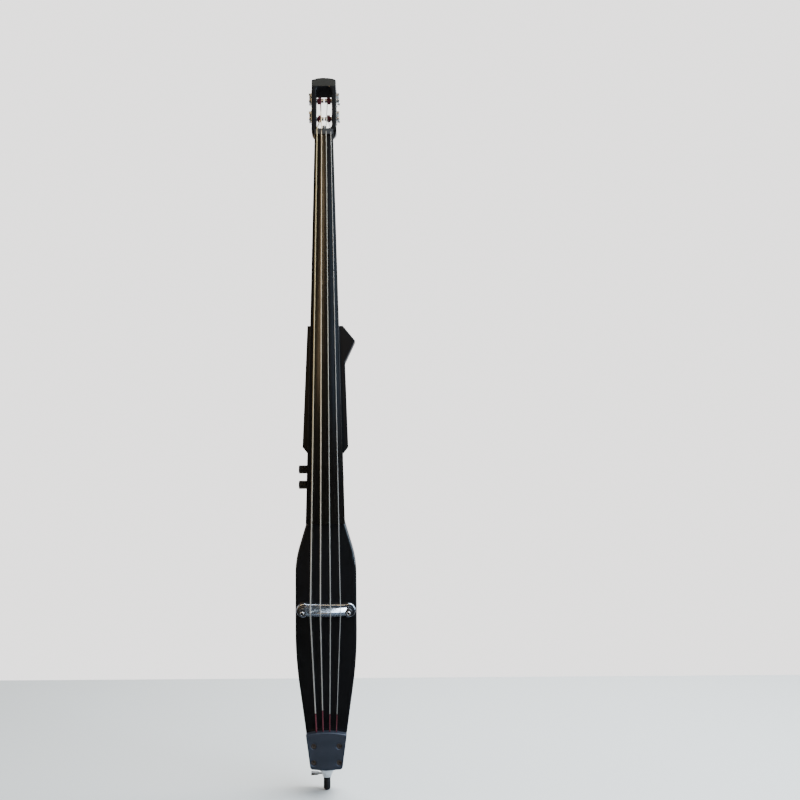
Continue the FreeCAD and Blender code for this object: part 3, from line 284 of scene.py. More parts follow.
def ebony():
    """Dark oiled wood: fine pores along the grain and brown streaks."""
    paint = Paint("ebony", (0.012, 0.010, 0.009), 0.38)
    pores = paint.noise((700.0, 700.0, 9.0), detail=6.0, distortion=0.3)
    streaks = paint.noise((130.0, 130.0, 2.2), detail=4.0, distortion=0.8)
    dark = paint.blend(streaks, (0.0035, 0.003, 0.0028), (0.009, 0.007, 0.0052))
    paint.colour(paint.blend(paint.remap(pores, 0.0, 0.5, 0.45, 0.75), dark, (0.013, 0.010, 0.0075)))
    paint.roughness(paint.remap(pores, 0.17, 0.28))
    paint.bump(pores, 0.10, 0.0003)
    return paint.material


def hard_black(name, colour, roughness=0.42, grain=300.0):
    paint = Paint(name, colour, roughness)
    pits = paint.noise(grain, detail=4.0)
    paint.mottle(pits, colour, 0.8, 1.25)
    paint.roughness(paint.remap(pits, 0.75 * roughness, 1.25 * roughness))
    paint.bump(pits, 0.06, 0.0003)
    return paint.material


def metal(name, colour, roughness, brushed=None, bump=0.03, metallic=1.0):
    """Bright metal with fine marks; brushed gives the marks' scale along x, y and z."""
    paint = Paint(name, colour, roughness, metallic=metallic)
    marks = paint.noise(brushed or 500.0, detail=4.0)
    haze = paint.noise(35.0, detail=3.0)
    paint.mottle(haze, colour, 0.82, 1.0)
    paint.roughness(paint.remap(marks, roughness * 0.75, roughness * 1.5))
    paint.bump(marks, bump, 0.0002)
    return paint.material


def wound_steel(name, low_tint, top_tint):
    """A flat-wound string: ribbon edges every 0.8 mm, and a colour that shifts from the first given colour to
    the second between 0.35 m and 0.9 m up, in blotches.
    """
    paint = Paint(name, low_tint, 0.4, metallic=0.6)
    ribbon = paint.bands(390.0)
    place = paint.nodes.new("ShaderNodeSeparateXYZ")
    paint.links.new(paint.place, place.inputs[0])
    # Colour by height alone: it moves towards the second colour from 0.35 m to 0.9 m up, with blotches of
    # noise on top.
    higher_up = paint.remap(place.outputs["Z"], 0.0, 1.0, 0.35, 0.9)
    blotches = paint.remap(paint.noise((60.0, 60.0, 3.0), detail=4.0), -0.2, 0.2)
    amount = paint.nodes.new("ShaderNodeMath")
    amount.use_clamp = True
    paint.links.new(higher_up, amount.inputs[0])
    paint.links.new(blotches, amount.inputs[1])
    paint.colour(paint.blend(amount.outputs[0], low_tint, top_tint))
    paint.roughness(paint.remap(ribbon, 0.44, 0.34))
    paint.bump(ribbon, 0.06, 0.0001)
    return paint.material


def silk():
    """Dark red thread wound close round a string's end."""
    paint = Paint("string_silk", (0.1, 0.008, 0.02), 0.8, sheen=0.1)
    thread = paint.bands(780.0, distortion=0.8, detail=1.0)
    fuzz = paint.noise(1500.0, detail=4.0)
    paint.colour(paint.blend(fuzz, (0.075, 0.004, 0.012), (0.15, 0.010, 0.026)))
    paint.bump(thread, 0.5, 0.0002)
    return paint.material


def board_green():
    paint = Paint("circuit_board", (0.01, 0.12, 0.04), 0.45)
    tracks = paint.bands(240.0, "X", distortion=5.0, detail=2.0)
    paint.colour(paint.blend(paint.remap(tracks, 0.0, 1.0, 0.7, 0.75), (0.01, 0.11, 0.04), (0.02, 0.2, 0.07)))
    return paint.material


MATERIALS = {
    "body_lacquer": lacquer(),
    "block_lacquer": satin_black("lacquer_satin", (0.0045, 0.0045, 0.0055)),
    "ebony": ebony(),
    "nut_black": hard_black("nut_black", (0.034, 0.033, 0.034)),
    "tuner_metal": metal("tuner_metal", (0.70, 0.70, 0.69), 0.25, metallic=0.92),
    "string_steel": wound_steel("string_steel", (0.58, 0.58, 0.56), (0.58, 0.46, 0.28)),
    "string_silk": silk(),
    "steel_fastener": metal("steel_fastener", (0.5, 0.5, 0.52), 0.25),
    "bridge_alloy": metal("bridge_alloy", (0.60, 0.65, 0.73), 0.18, bump=0.0),
    "bridge_bush": hard_black("bridge_bush", (0.010, 0.010, 0.011)),
    "bridge_steel": metal("bridge_steel", (0.86, 0.86, 0.88), 0.16),
    "tail_alloy": metal("tail_alloy", (0.060, 0.072, 0.100), 0.42, 900.0, metallic=0.6),
    "collar_alloy": metal("collar_alloy", (0.80, 0.86, 0.92), 0.32, (60.0, 60.0, 3000.0), metallic=0.4),
    "tip_rubber": hard_black("tip_rubber", (0.006, 0.007, 0.009), 0.7, 700.0),
    "thumb_steel": metal("thumb_steel", (0.40, 0.42, 0.44), 0.25),
    "knob_black": hard_black("knob_black", (0.014, 0.013, 0.013)),
    "pot_steel": metal("pot_steel", (0.5, 0.5, 0.5), 0.35),
    "cover_plastic": hard_black("cover_plastic", (0.012, 0.012, 0.012), 0.5, 1200.0),
    "circuit_board": board_green(),
    "battery_case": metal("battery_case", (0.15, 0.15, 0.17), 0.35),
    "jack_metal": metal("jack_metal", (0.75, 0.75, 0.77), 0.18),
    "piezo_brass": metal("piezo_brass", (0.7, 0.5, 0.22), 0.3),
    "lead_sheath": hard_black("lead_sheath", (0.015, 0.015, 0.015)),
}
WOUND = {
    "e": wound_steel("string_steel_e", (0.60, 0.58, 0.54), (0.56, 0.43, 0.23)),
    "a": wound_steel("string_steel_a", (0.62, 0.60, 0.56), (0.70, 0.52, 0.32)),
    "d": wound_steel("string_steel_d", (0.58, 0.58, 0.56), (0.46, 0.42, 0.34)),
    "g": wound_steel("string_steel_g", (0.58, 0.58, 0.57), (0.40, 0.37, 0.33)),
}
BAR_ALLOY = metal("bar_alloy", (0.62, 0.70, 0.80), 0.24, bump=0.0)
BLACK_OXIDE = metal("black_oxide", (0.11, 0.09, 0.08), 0.4, metallic=0.6)
SLOT_BLACK_AND_SOCKET_SHADE = slot_black()


# ---------------------------------------------------------------- ways to make a piece

SHARP = math.radians(32)


def publish(mesh, name, node, *replaced, material=None):
    """Shows a mesh in place of a CAD node, on that node's body, with smooth faces and sharp creases."""
    shade(mesh)
    item = bpy.data.objects.new(name, mesh)
    bpy.context.scene.collection.objects.link(item)
    mesh.materials.clear()
    mesh.materials.append(material or MATERIALS[SLOT_OF[node]])
    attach(item, BODY_OF[node])
    if replaced:
        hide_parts(*replaced)
    return item


def shade(mesh):
    work = bmesh.new()
    work.from_mesh(mesh)
    bmesh.ops.recalc_face_normals(work, faces=work.faces)
    for face in work.faces:
        face.smooth = True
    for edge in work.edges:
        edge.smooth = edge.calc_face_angle(0.0) < SHARP
    work.to_mesh(mesh)
    work.free()


def joined(name, meshes):
    work = bmesh.new()
    for mesh in meshes:
        work.from_mesh(mesh)
    whole = bpy.data.meshes.new(name)
    work.to_mesh(whole)
    work.free()
    return whole


def moved(mesh, matrix):
    mesh.transform(matrix)
    return mesh


def mirrored_x(mesh):
    copy = mesh.copy()
    copy.transform(Matrix.Scale(-1, 4, (1, 0, 0)))
    copy.flip_normals()
    return copy


TURN = {
    "x": Matrix(((0, 0, 1, 0), (1, 0, 0, 0), (0, 1, 0, 0), (0, 0, 0, 1))),
    "-x": Matrix(((0, 0, -1, 0), (0, 1, 0, 0), (1, 0, 0, 0), (0, 0, 0, 1))),
    "y": Matrix(((1, 0, 0, 0), (0, 0, 1, 0), (0, -1, 0, 0), (0, 0, 0, 1))),
    "z": Matrix.Identity(4),
}


def lathe(profile, centre=(0, 0, 0), axis="z", sides=64):
    """A turned solid. The profile is (radius, along) in millimetres, from one end to the other."""
    rings = []
    points = []
    for radius, along in profile:
        if radius < 1e-6:
            rings.append([len(points)])
            points.append((0, 0, along))
            continue
        rings.append(list(range(len(points), len(points) + sides)))
        for step in range(sides):
            angle = 2 * math.pi * step / sides
            points.append((radius * math.cos(angle), radius * math.sin(angle), along))
    faces = []
    for low, high in zip(rings, rings[1:]):
        for step in range(sides):
            ahead = (step + 1) % sides
            near = [low[step % len(low)], low[ahead % len(low)]]
            far = [high[ahead % len(high)], high[step % len(high)]]
            faces.append(tuple(dict.fromkeys(near + far)))
    mesh = bpy.data.meshes.new("turned")
    mesh.from_pydata(points, [], [face for face in faces if len(face) > 2])
    return moved(mesh, Matrix.Scale(MM, 4) @ Matrix.Translation(centre) @ TURN[axis])


def softened(profile, reach=0.5, steps=3):
    """A profile with each inner corner rounded."""
    out = [profile[0]]
    for before, corner, after in zip(profile, profile[1:], profile[2:]):
        corner_v = Vector(corner)
        back = Vector(before) - corner_v
        ahead = Vector(after) - corner_v
        cut = min(reach, back.length / 2.2, ahead.length / 2.2)
        start = corner_v + back.normalized() * cut
        end = corner_v + ahead.normalized() * cut
        for step in range(steps + 1):
            share = step / steps
            point = start * (1 - share) ** 2 + corner_v * 2 * share * (1 - share) + end * share**2
            out.append((point.x, point.y))
    out.append(profile[-1])
    return out


def loft(rings):
    """A solid through closed rings of points, in millimetres, with its two ends capped."""
    count = len(rings[0])
    points = [point for ring in rings for point in ring]
    faces = [tuple(range(count))[::-1], tuple(range(len(points) - count, len(points)))]
    for level in range(len(rings) - 1):
        for step in range(count):
            ahead = (step + 1) % count
            low = level * count
            faces.append((low + step, low + ahead, low + count + ahead, low + count + step))
    mesh = bpy.data.meshes.new("loft")
    mesh.from_pydata(points, [], faces)
    return moved(mesh, Matrix.Scale(MM, 4))


def plate(outlines, low, high, bevel, axis="y", bevel_steps=4):
    """A flat piece cut to an outline, less the holes after it, from low to high along an axis.
    All is in millimetres, and the outline is (x, z) for axis y and (y, z) for axis x."""
    curve = bpy.data.curves.new("plate", "CURVE")
    curve.dimensions = "2D"
    curve.fill_mode = "BOTH"
    for index, outline in enumerate(outlines):
        area = sum(a[0] * b[1] - b[0] * a[1] for a, b in zip(outline, outline[1:] + outline[:1]))
        if (area > 0) == (index > 0):
            outline = outline[::-1]
        spline = curve.splines.new("POLY")
        spline.points.add(len(outline) - 1)
        for point, (across, up) in zip(spline.points, outline):
            point.co = (across, up, 0, 1)
        spline.use_cyclic_u = True
    curve.extrude = (high - low) / 2 - bevel
    curve.bevel_depth = bevel
    curve.bevel_resolution = bevel_steps
    curve.offset = -bevel
    holder = bpy.data.objects.new("plate", curve)
    bpy.context.scene.collection.objects.link(holder)
    bpy.context.view_layer.update()
    mesh = bpy.data.meshes.new_from_object(holder.evaluated_get(bpy.context.evaluated_depsgraph_get()))
    bpy.data.objects.remove(holder)
    work = bmesh.new()
    work.from_mesh(mesh)
    bmesh.ops.remove_doubles(work, verts=work.verts, dist=1e-4)
    work.to_mesh(mesh)
    work.free()
    upright = {
        "y": Matrix(((1, 0, 0, 0), (0, 0, -1, (low + high) / 2), (0, 1, 0, 0), (0, 0, 0, 1))),
        "x": Matrix(((0, 0, 1, (low + high) / 2), (1, 0, 0, 0), (0, 1, 0, 0), (0, 0, 0, 1))),
    }[axis]
    return moved(mesh, Matrix.Scale(MM, 4) @ upright)


def sliced(mesh, axis, places):
    """The mesh cut across at each place, so that it can be bent there."""
    work = bmesh.new()
    work.from_mesh(mesh)
    normal = Vector((axis == "x", axis == "y", axis == "z"))
    for place in places:
        everything = work.verts[:] + work.edges[:] + work.faces[:]
        bmesh.ops.bisect_plane(work, geom=everything, plane_co=normal * place * MM, plane_no=normal)
    work.to_mesh(mesh)
    work.free()
    return mesh


def wire(points, radius, sides=16):
    """A round wire through points, in millimetres, with flat ends. A list gives each point its own radius."""
    rings = []
    side = None
    for index, point in enumerate(points):
        before = points[max(index - 1, 0)]
        after = points[min(index + 1, len(points) - 1)]
        along = (after - before).normalized()
        if side is None:
            side = along.orthogonal().normalized()
        side = (side - along * side.dot(along)).normalized()
        other = along.cross(side)
        size = radius[index] if isinstance(radius, list) else radius
        ring = []
        for step in range(sides):
            angle = 2 * math.pi * step / sides
            ring.append(point + side * (size * math.cos(angle)) + other * (size * math.sin(angle)))
        rings.append([tuple(corner) for corner in ring])
    return loft(rings)


def circle(centre, radius, steps=48, start=0.0):
    x, y = centre
    angles = [start + 2 * math.pi * step / steps for step in range(steps)]
    return [(x + radius * math.cos(angle), y + radius * math.sin(angle)) for angle in angles]


def arc(start, end, radius, steps=24):
    """Points from start to end along an arc; a positive radius turns left."""
    first, last = Vector(start), Vector(end)
    half = (last - first) / 2
    rise = math.sqrt(max(radius * radius - half.length_squared, 0.0))
    normal = Vector((-half.y, half.x)).normalized() * math.copysign(1, radius)
    centre = first + half + normal * rise
    low = math.atan2(*(first - centre).yx)
    sweep = 2 * math.asin(min(half.length / abs(radius), 1.0)) * math.copysign(1, radius)
    out = []
    for step in range(1, steps + 1):
        angle = low + sweep * step / steps
        out.append((centre.x + abs(radius) * math.cos(angle), centre.y + abs(radius) * math.sin(angle)))
    return out


def both_sides(right):
    """A closed outline from its right side, listed from the bottom centre to the top centre."""
    left = [(-x, y) for x, y in reversed(right) if x > 1e-6]
    return right + left


def rounded_corners(outline, radius, steps=6):
    out = []
    count = len(outline)
    for index in range(count):
        corner = Vector(outline[index])
        back = Vector(outline[index - 1]) - corner
        ahead = Vector(outline[(index + 1) % count]) - corner
        reach = min(radius, back.length / 2.1, ahead.length / 2.1)
        start = corner + back.normalized() * reach
        end = corner + ahead.normalized() * reach
        for step in range(steps + 1):
            share = step / steps
            point = start * (1 - share) ** 2 + corner * 2 * share * (1 - share) + end * share**2
            out.append((point.x, point.y))
    return out


# ---------------------------------------------------------------- strings

STRING_R = {"e": 1.35, "a": 1.1, "d": 0.9, "g": 0.7}
SHARE = {"e": -1.0, "a": -1 / 3, "d": 1 / 3, "g": 1.0}
OUTER = {"e": True, "a": False, "d": False, "g": True}
POST_Z = {"e": 1504.0, "a": 1547.0, "d": 1547.0, "g": 1504.0}
SIDE = {"e": -1, "a": -1, "d": 1, "g": 1}
TAIL_SILK_Z = {"e": 172.0, "a": 179.0, "d": 171.0, "g": 170.0}
HEAD_SILK = {"e": 7.0, "a": 30.0, "d": 8.0, "g": 7.0}
POST_Y = -9.0
NUT_Z, NUT_THICK = 1455.0, 12.0
BRIDGE_Z = 388.0
SILK_THICK = 0.35
SPREAD_AT_TAIL, SPREAD_AT_BRIDGE, SPREAD_AT_NUT = 21.6, 32.3, 15.9
COIL_X, COIL_R, COIL_WIRE_R, COIL_STEP = 8.0, 6.65, 1.55, 3.25 * 0.8
COIL_TURNS, COIL_SIDES = 3, 40


def string_corners(name):
    share = SHARE[name]
    bridge_y, nut_y = (-60.0, -37.7) if OUTER[name] else (-64.0, -38.4)
    return [
        Vector((share * SPREAD_AT_TAIL, -31.5, 88)),
        Vector((share * SPREAD_AT_TAIL, -31.5, 135)),
        Vector((share * SPREAD_AT_BRIDGE, bridge_y, BRIDGE_Z)),
        Vector((share * SPREAD_AT_NUT, nut_y, NUT_Z)),
        Vector((share * SPREAD_AT_NUT, nut_y + 1, NUT_Z + NUT_THICK)),
        Vector((SIDE[name] * COIL_X, POST_Y - 8.5 - STRING_R[name], POST_Z[name] - 4)),
    ]


def bent(corners, radius=8.0, steps=8):
    """The corners joined by straight runs and tangent arcs."""
    out = [corners[0]]
    for before, corner, after in zip(corners, corners[1:], corners[2:]):
        back = (before - corner).normalized()
        ahead = (after - corner).normalized()
        half_turn = (math.pi - back.angle(ahead)) / 2
        reach = radius * math.tan(half_turn)
        start, end = corner + back * reach, corner + ahead * reach
        for step in range(steps + 1):
            share = step / steps
            out.append(start * (1 - share) ** 2 + corner * 2 * share * (1 - share) + end * share**2)
    out.append(corners[-1])
    return out


def run_between(points, low, high):
    """The part of a path between two heights."""
    out = []
    for start, end in zip(points, points[1:]):
        for height in (low, high):
            if start.z < height < end.z:
                out.append(start.lerp(end, (height - start.z) / (end.z - start.z)))
        if low <= end.z <= high:
            out.append(end)
    return sorted(out, key=lambda point: point.z)


def make_strings():
    for name, radius in STRING_R.items():
        node = f"string_{name}"
        path = bent(string_corners(name))
        publish(wire(path, radius), f"string_core_{name}", node, node, material=WOUND[name])
        top = path[-1].z
        for end, low, high in (("tail", 90.0, TAIL_SILK_Z[name]), ("head", top - HEAD_SILK[name], top)):
            run = run_between(path, low, high)
            sizes = [radius + SILK_THICK] * len(run)
            sizes[-1 if end == "tail" else 0] = radius
            look = MATERIALS["string_silk"]
            silk_item = publish(wire(run, sizes), f"string_silk_{end}_{name}", node, material=look)
        coil = []
        for step in range(COIL_TURNS * COIL_SIDES + 1):
            angle = 2 * math.pi * step / COIL_SIDES - math.pi / 2
            x = SIDE[name] * (COIL_X + COIL_STEP * max(0.0, step / COIL_SIDES - 0.5))
            y = POST_Y + COIL_R * math.sin(angle)
            coil.append(Vector((x, y, POST_Z[name] + COIL_R * math.cos(angle))))
        turns = f"string_coil_{name}"
        publish(wire(coil, COIL_WIRE_R, 12), f"silk_turns_{name}", turns, turns)


# ---------------------------------------------------------------- tuning machines

WORM_X = 32.3
WORM_RISE = 11.5
KEY_TURN = math.radians(18)
THREAD_TURNS, THREAD_R, THREAD_FROM, THREAD_TO = 5, 1.75, -14.2, -4.0


def trefoil(centre_y, spread_y, spread_z, radius, steps=96):
    """The outline of a three-lobed key about its middle, as (y, z)."""
    lobes = [(-spread_y, -spread_z), (-spread_y, spread_z), (spread_y * 0.9, 0.0)]
    out = []
    for step in range(steps):
        angle = 2 * math.pi * step / steps
        direction = Vector((math.cos(angle), math.sin(angle)))
        reach = 0.0
        for lobe in lobes:
            along = direction.dot(Vector(lobe))
            inside = radius * radius - (Vector(lobe).length_squared - along * along)
            if inside > 0:
                reach = max(reach, along + math.sqrt(inside))
        out.append(reach)
    smooth = []
    for step in range(steps):
        near = [out[(step + shift) % steps] for shift in range(-4, 5)]
        angle = 2 * math.pi * step / steps
        reach = sum(near) / len(near)
        smooth.append((centre_y + reach * math.cos(angle), reach * math.sin(angle)))
    return smooth


def make_tuners():
    outline = trefoil(23.4, 3.0, 3.8, 4.8)
    blade = plate([outline], -2.3, 2.3, 1.9, "x", 5)
    stem = [(0, 9), (2.4, 9), (2.4, 13), (1.9, 14.5), (2.2, 21), (0, 21)]
    stem = lathe(softened(stem, 0.4), axis="y", sides=32)
    whole = joined("key", [blade, stem])
    whole.transform(Matrix.Rotation(-KEY_TURN, 4, "Y"))
    core = [(0, -18.9), (1.6, -18.9), (1.6, -14.7), (1.9, -14.7), (1.9, -3.3), (1.6, -3.3), (1.6, -0.3)]
    core += [(2.4, -0.3), (2.4, 3.7), (1.6, 3.7), (1.6, 9.0), (0, 9.0)]
    shaft = lathe(softened(core, 0.2, 2), axis="y", sides=32)
    thread = []
    steps = THREAD_TURNS * 24
    for step in range(steps + 1):
        angle = 2 * math.pi * step / 24
        along = THREAD_FROM + (THREAD_TO - THREAD_FROM) * step / steps
        thread.append(Vector((THREAD_R * math.cos(angle), along, THREAD_R * math.sin(angle))))
    worm = joined("worm", [shaft, wire(thread, 0.75, 8)])
    for name, side in SIDE.items():
        spot = Matrix.Translation((WORM_X * MM, 0, (POST_Z[name] + WORM_RISE) * MM))
        for node, source in ((f"tuner_key_{name}", whole), (f"tuner_worm_{name}", worm)):
            mesh = moved(source.copy(), spot)
            publish(mesh if side > 0 else mirrored_x(mesh), f"{node}_made", node, node)


# ---------------------------------------------------------------- neck, head, fingerboard

BOARD_LOW, BOARD_HIGH = 575.0, NUT_Z
BOARD_R = 140.0
BOARD_HALF, NECK_HALF = (43.0, 21.3), (42.4, 21.0)
BOARD_BACK, BOARD_FRONT = (-38.5, -26.5), (-49.5, -36.5)
NECK_HEEL_Z, NECK_SEAT = 1016.0, -23.05


def along_board(z, ends):
    """A size at a height, given at the board's low end and at the nut."""
    low, high = ends
    return low + (high - low) * (z - BOARD_LOW) / (BOARD_HIGH - BOARD_LOW)


def crowned_ring(z, half, under, top, radius, inset=0.0, steps=28, corner=0.8):
    """A section with a flat back, short sides and an arched front, with its front corners eased."""
    half -= inset
    top += inset
    under -= inset
    ring = [(-half, under), (-half, (under + top + 2) / 2)]
    for step in range(steps + 1):
        x = -half + 2 * half * step / steps
        y = top + radius - math.sqrt(radius * radius - x * x)
        ease = max(0.0, 1 - (half - abs(x)) / corner)
        ring.append((x, y + corner * (1 - math.sqrt(max(0.0, 1 - ease * ease)))))
    ring += [(half, (under + top + 2) / 2), (half, under)]
    return [(x, y, z) for x, y in ring]


def make_fingerboard():
    rings = []
    for z, inset in ((575, 0.8), (575.3, 0.25), (576, 0), (1455, 0)):
        sizes = [along_board(z, ends) for ends in (BOARD_HALF, BOARD_BACK, BOARD_FRONT)]
        rings.append(crowned_ring(z, *sizes, BOARD_R, inset))
    publish(loft(rings), "fingerboard_made", "fingerboard", "fingerboard")


def neck_ring(z, half, front, depth, steps=36):
    """A D-shaped section: flat under the fingerboard, short sides and a round back."""
    ring = [(-half + 0.4, front), (half - 0.4, front), (half, front + 0.4), (half, front + 2.4)]
    for step in range(1, steps):
        angle = math.pi * step / steps
        ring.append((half * math.cos(angle), front + 2.4 + (depth - 2.4) * math.sin(angle)))
    ring += [(-half, front + 2.4), (-half, front + 0.4)]
    return [(x, y, z) for x, y in ring]


def make_neck():
    rings = []
    for z in (NECK_HEEL_Z, 1020, 1100, 1200, 1300, 1400, 1425, HEAD_LOW):
        half = along_board(z, NECK_HALF)
        front = along_board(z, BOARD_BACK)
        rings.append(neck_ring(z, half, front, half + 2.4))
    publish(loft(rings), "neck_shaft", "neck", "neck")
    rings = []
    for z in (BOARD_LOW, NECK_HEEL_Z):
        half = along_board(z, NECK_HALF)
        front = along_board(z, BOARD_BACK)
        rings.append([(-half, front, z), (half, front, z), (half, NECK_SEAT, z), (-half, NECK_SEAT, z)])
    publish(loft(rings), "neck_tongue", "neck")


HEAD_LOW, HEAD_TOP = 1447.0, 1593.0
HEAD_HALF, NECK_END_HALF = 28.2, 21.3
HEAD_FRONT, HEAD_BACK = -31.0, 15.0
SLOPE_Z = 1572.0
SLOT_HALF, SLOT_LOW, SLOT_HIGH, SLOT_CORNER = 18.2, 1472.0, 1571.0, 9.0


def head_outline():
    right = [(0.0, HEAD_LOW), (NECK_END_HALF, HEAD_LOW)]
    right += arc((NECK_END_HALF, HEAD_LOW), (HEAD_HALF, 1478.0), 42.0, 16)
    right += [(HEAD_HALF, z) for z in (1500.0, 1530.0, 1560.0, 1586.0)]
    right += arc((27.4, 1588.2), (0.0, HEAD_TOP), 73.8, 20)
    return both_sides(right)


def slot_outline():
    half, low, high, corner = SLOT_HALF, SLOT_LOW, SLOT_HIGH, SLOT_CORNER
    right = [(0.0, low), (half - corner, low)]
    right += arc((half - corner, low), (half, low + corner), corner, 12)
    right += [(half, 1500.0), (half, 1530.0), (half, high - corner)]
    right += arc((half, high - corner), (half - corner, high), corner, 12)
    right += [(0.0, high)]
    return both_sides(right)


def head_front(z):
    """The front face: below the nut it lies under the fingerboard, and above the slot it slopes back."""
    if z < NUT_Z + NUT_THICK:
        return BOARD_BACK[1]
    return HEAD_FRONT + 2.2 * max(0.0, (z - SLOPE_Z) / (HEAD_TOP - SLOPE_Z)) ** 1.2


def head_back(x, z):
    """The back face sweeps from the neck's round back out to the head's flat one."""
    share = min(1.0, max(0.0, (z - HEAD_LOW) / 47.0))
    across = min(abs(x) / NECK_END_HALF, 1.0)
    round_off = 21.0 * (1 - math.sqrt(1 - across * across)) * max(0.0, 1 - (z - HEAD_LOW) / 38.0) ** 2
    return -3.2 + 18.2 * (3 * share * share - 2 * share**3) - round_off


def make_headstock():
    mesh = plate([head_outline(), slot_outline()], HEAD_FRONT, HEAD_BACK, 0.9)
    heights = [HEAD_LOW + 3 * step for step in range(17)] + [NUT_Z + 11.9, NUT_Z + 12.1]
    heights += [SLOPE_Z + 2.5 * step for step in range(9)]
    sliced(mesh, "z", heights)
    sliced(mesh, "x", [2.0 * step for step in range(-10, 11)])
    for vertex in mesh.vertices:
        z = vertex.co.z / MM
        share = (vertex.co.y / MM - HEAD_FRONT) / (HEAD_BACK - HEAD_FRONT)
        front, back = head_front(z), head_back(vertex.co.x / MM, z)
        vertex.co.y = (front + (back - front) * share) * MM
        if abs(vertex.co.x / MM) < SLOT_HALF + 1.0 and 1500 < z < SLOPE_Z:
            vertex.co.z = min(z, SLOPE_Z - 5.5 * share) * MM
    publish(mesh, "headstock_made", "headstock", "headstock")
    mesh.materials.append(SLOT_BLACK_AND_SOCKET_SHADE)
    for face in mesh.polygons:
        middle = face.center / MM
        inside = abs(middle.x) < SLOT_HALF + 0.4 and SLOT_LOW - 0.5 < middle.z < SLOT_HIGH + 0.5
        if inside and abs(face.normal.y) < 0.5:
            face.material_index = 1


# ---------------------------------------------------------------- bridge

POST_X = 49.5
BAR_HALF, BAR_CROWN, BAR_R, BAR_UNDER = 45.0, -64.6, 116.0, -44.0
BASE_FRONT = -32.0


def capsule(half, bar_half, end_r, centre_z, steps=40):
    """A bar with round ends that are a little wider than it."""
    lean = math.asin(bar_half / end_r)
    right = []
    for step in range(steps + 1):
        angle = -math.pi + lean + 2 * (math.pi - lean) * step / steps
        right.append((half + end_r * math.cos(angle), centre_z + end_r * math.sin(angle)))
    left = [(-x, z) for x, z in reversed(right)]
    return right + left


def make_bridge():
    outline = capsule(POST_X, 13.3, 15.2, BRIDGE_Z)
    base = plate([outline], BASE_FRONT, BODY_FRONT, 3.0, bevel_steps=7)
    publish(base, "bridge_base_made", "bridge_base", "bridge_base")
    screw = [(0, -32.3), (1.4, -32.3), (1.4, -33.2), (2.9, -33.2), (3.5, -32.6), (3.5, -30.0), (1.9, -29.0)]
    screw = softened(screw + [(1.9, -8.0), (0, -6.5)], 0.2)
    screws = [lathe(screw, (side * 12.0, 0, BRIDGE_Z), "y", 40) for side in (-1, 1)]
    publish(joined("base_screws", screws), "bridge_screws_made", "bridge_screws", "bridge_screws")
    rings = []
    steps = 60
    upper = [(0.5, 0.0), (1.3, 0.35), (2.0, 1.0), (8.2, 7.6), (9.0, 9.0), (9.3, 10.6)]
    for step in range(steps + 1):
        x = -BAR_HALF + 2 * BAR_HALF * step / steps
        crown = BAR_CROWN + BAR_R - math.sqrt(BAR_R**2 - x * x)
        front = [(across, crown + depth) for across, depth in upper] + [(upper[-1][0], BAR_UNDER)]
        section = [(-across, y) for across, y in reversed(front)] + front
        rings.append([(x, y, BRIDGE_Z + across) for across, y in section])
    blade = loft(rings)
    publish(blade, "bridge_bar_made", "bridge_bar", "bridge_bar", material=BAR_ALLOY)
    for side, name in ((-1, "e"), (1, "g")):
        spot = (side * POST_X, 0, BRIDGE_Z)
        post = [(2.35, -63.5), (2.35, -68.0), (2.8, -68.5), (3.6, -68.5), (4.5, -67.4)]
        post += [(4.5, -32.3), (3.9, BASE_FRONT), (3.9, -25), (0, -25)]
        shaft = lathe(softened(post, 0.35), spot, "y", 48)
        publish(shaft, f"bridge_post_made_{name}", f"bridge_post_{name}", f"bridge_post_{name}")
        # Painted shade: a black disc closes the bottom of the post's bore, where the steel socket would only
        # lie in shade.
        floor = lathe([(0, -64.5), (2.6, -64.5), (2.6, -63.0), (0, -63.0)], spot, "y", 6)
        publish(floor, f"bridge_socket_painted_shade_{name}", f"bridge_post_{name}", material=SLOT_BLACK_AND_SOCKET_SHADE)
    rings = []
    for side in (-1, 1):
        ring = [(4.56, -56.6), (4.9, -57.0), (6.9, -57.0), (7.4, -56.4)]
        ring += [(7.4, -43.6), (6.9, -43.0), (4.56, -43.0)]
        rings.append(lathe(softened(ring, 0.25), (side * POST_X, 0, BRIDGE_Z), "y", 48))
    publish(joined("bushes", rings), "bridge_bushes_made", "bridge_bushes", "bridge_bushes")


# ---------------------------------------------------------------- tail and endpin

TAIL_FRONT = -40.0
TAIL_SCREWS = [(x, z) for x in (-27.2, 27.2) for z in (70.2, 104.3)]


def tail_outline():
    right = [(0.0, 54.0), (31.1, 56.5), (34.6, 60.0), (44.0, 127.0)]
    right += [(43.6, 127.6)] + arc((43.6, 127.6), (0.0, 132.6), 175.7, 24)
    return both_sides(right)


def make_tail():
    holes = [circle(place, 5.65) for place in TAIL_SCREWS]
    block = plate([tail_outline(), *holes], TAIL_FRONT, BODY_FRONT, 1.8)
    publish(block, "tail_block_made", "tail_block", "tail_block")
    dish = [(1.9, -34.6), (1.9, -37.3), (2.3, -37.8), (5.0, -37.8), (5.55, -37.3), (5.55, -34.6)]
    socket = [(0, -35.0), (2.2, -35.0), (2.2, -34.6), (0, -34.6)]
    heads = []
    for x, z in TAIL_SCREWS:
        heads.append(lathe(softened(dish, 0.2), (x, 0, z), "y", 40))
        heads.append(lathe(socket, (x, 0, z), "y", 6))
    screws = joined("tail_heads", heads)
    publish(screws, "tail_screws_made", "tail_screws", "tail_screws", material=BLACK_OXIDE)


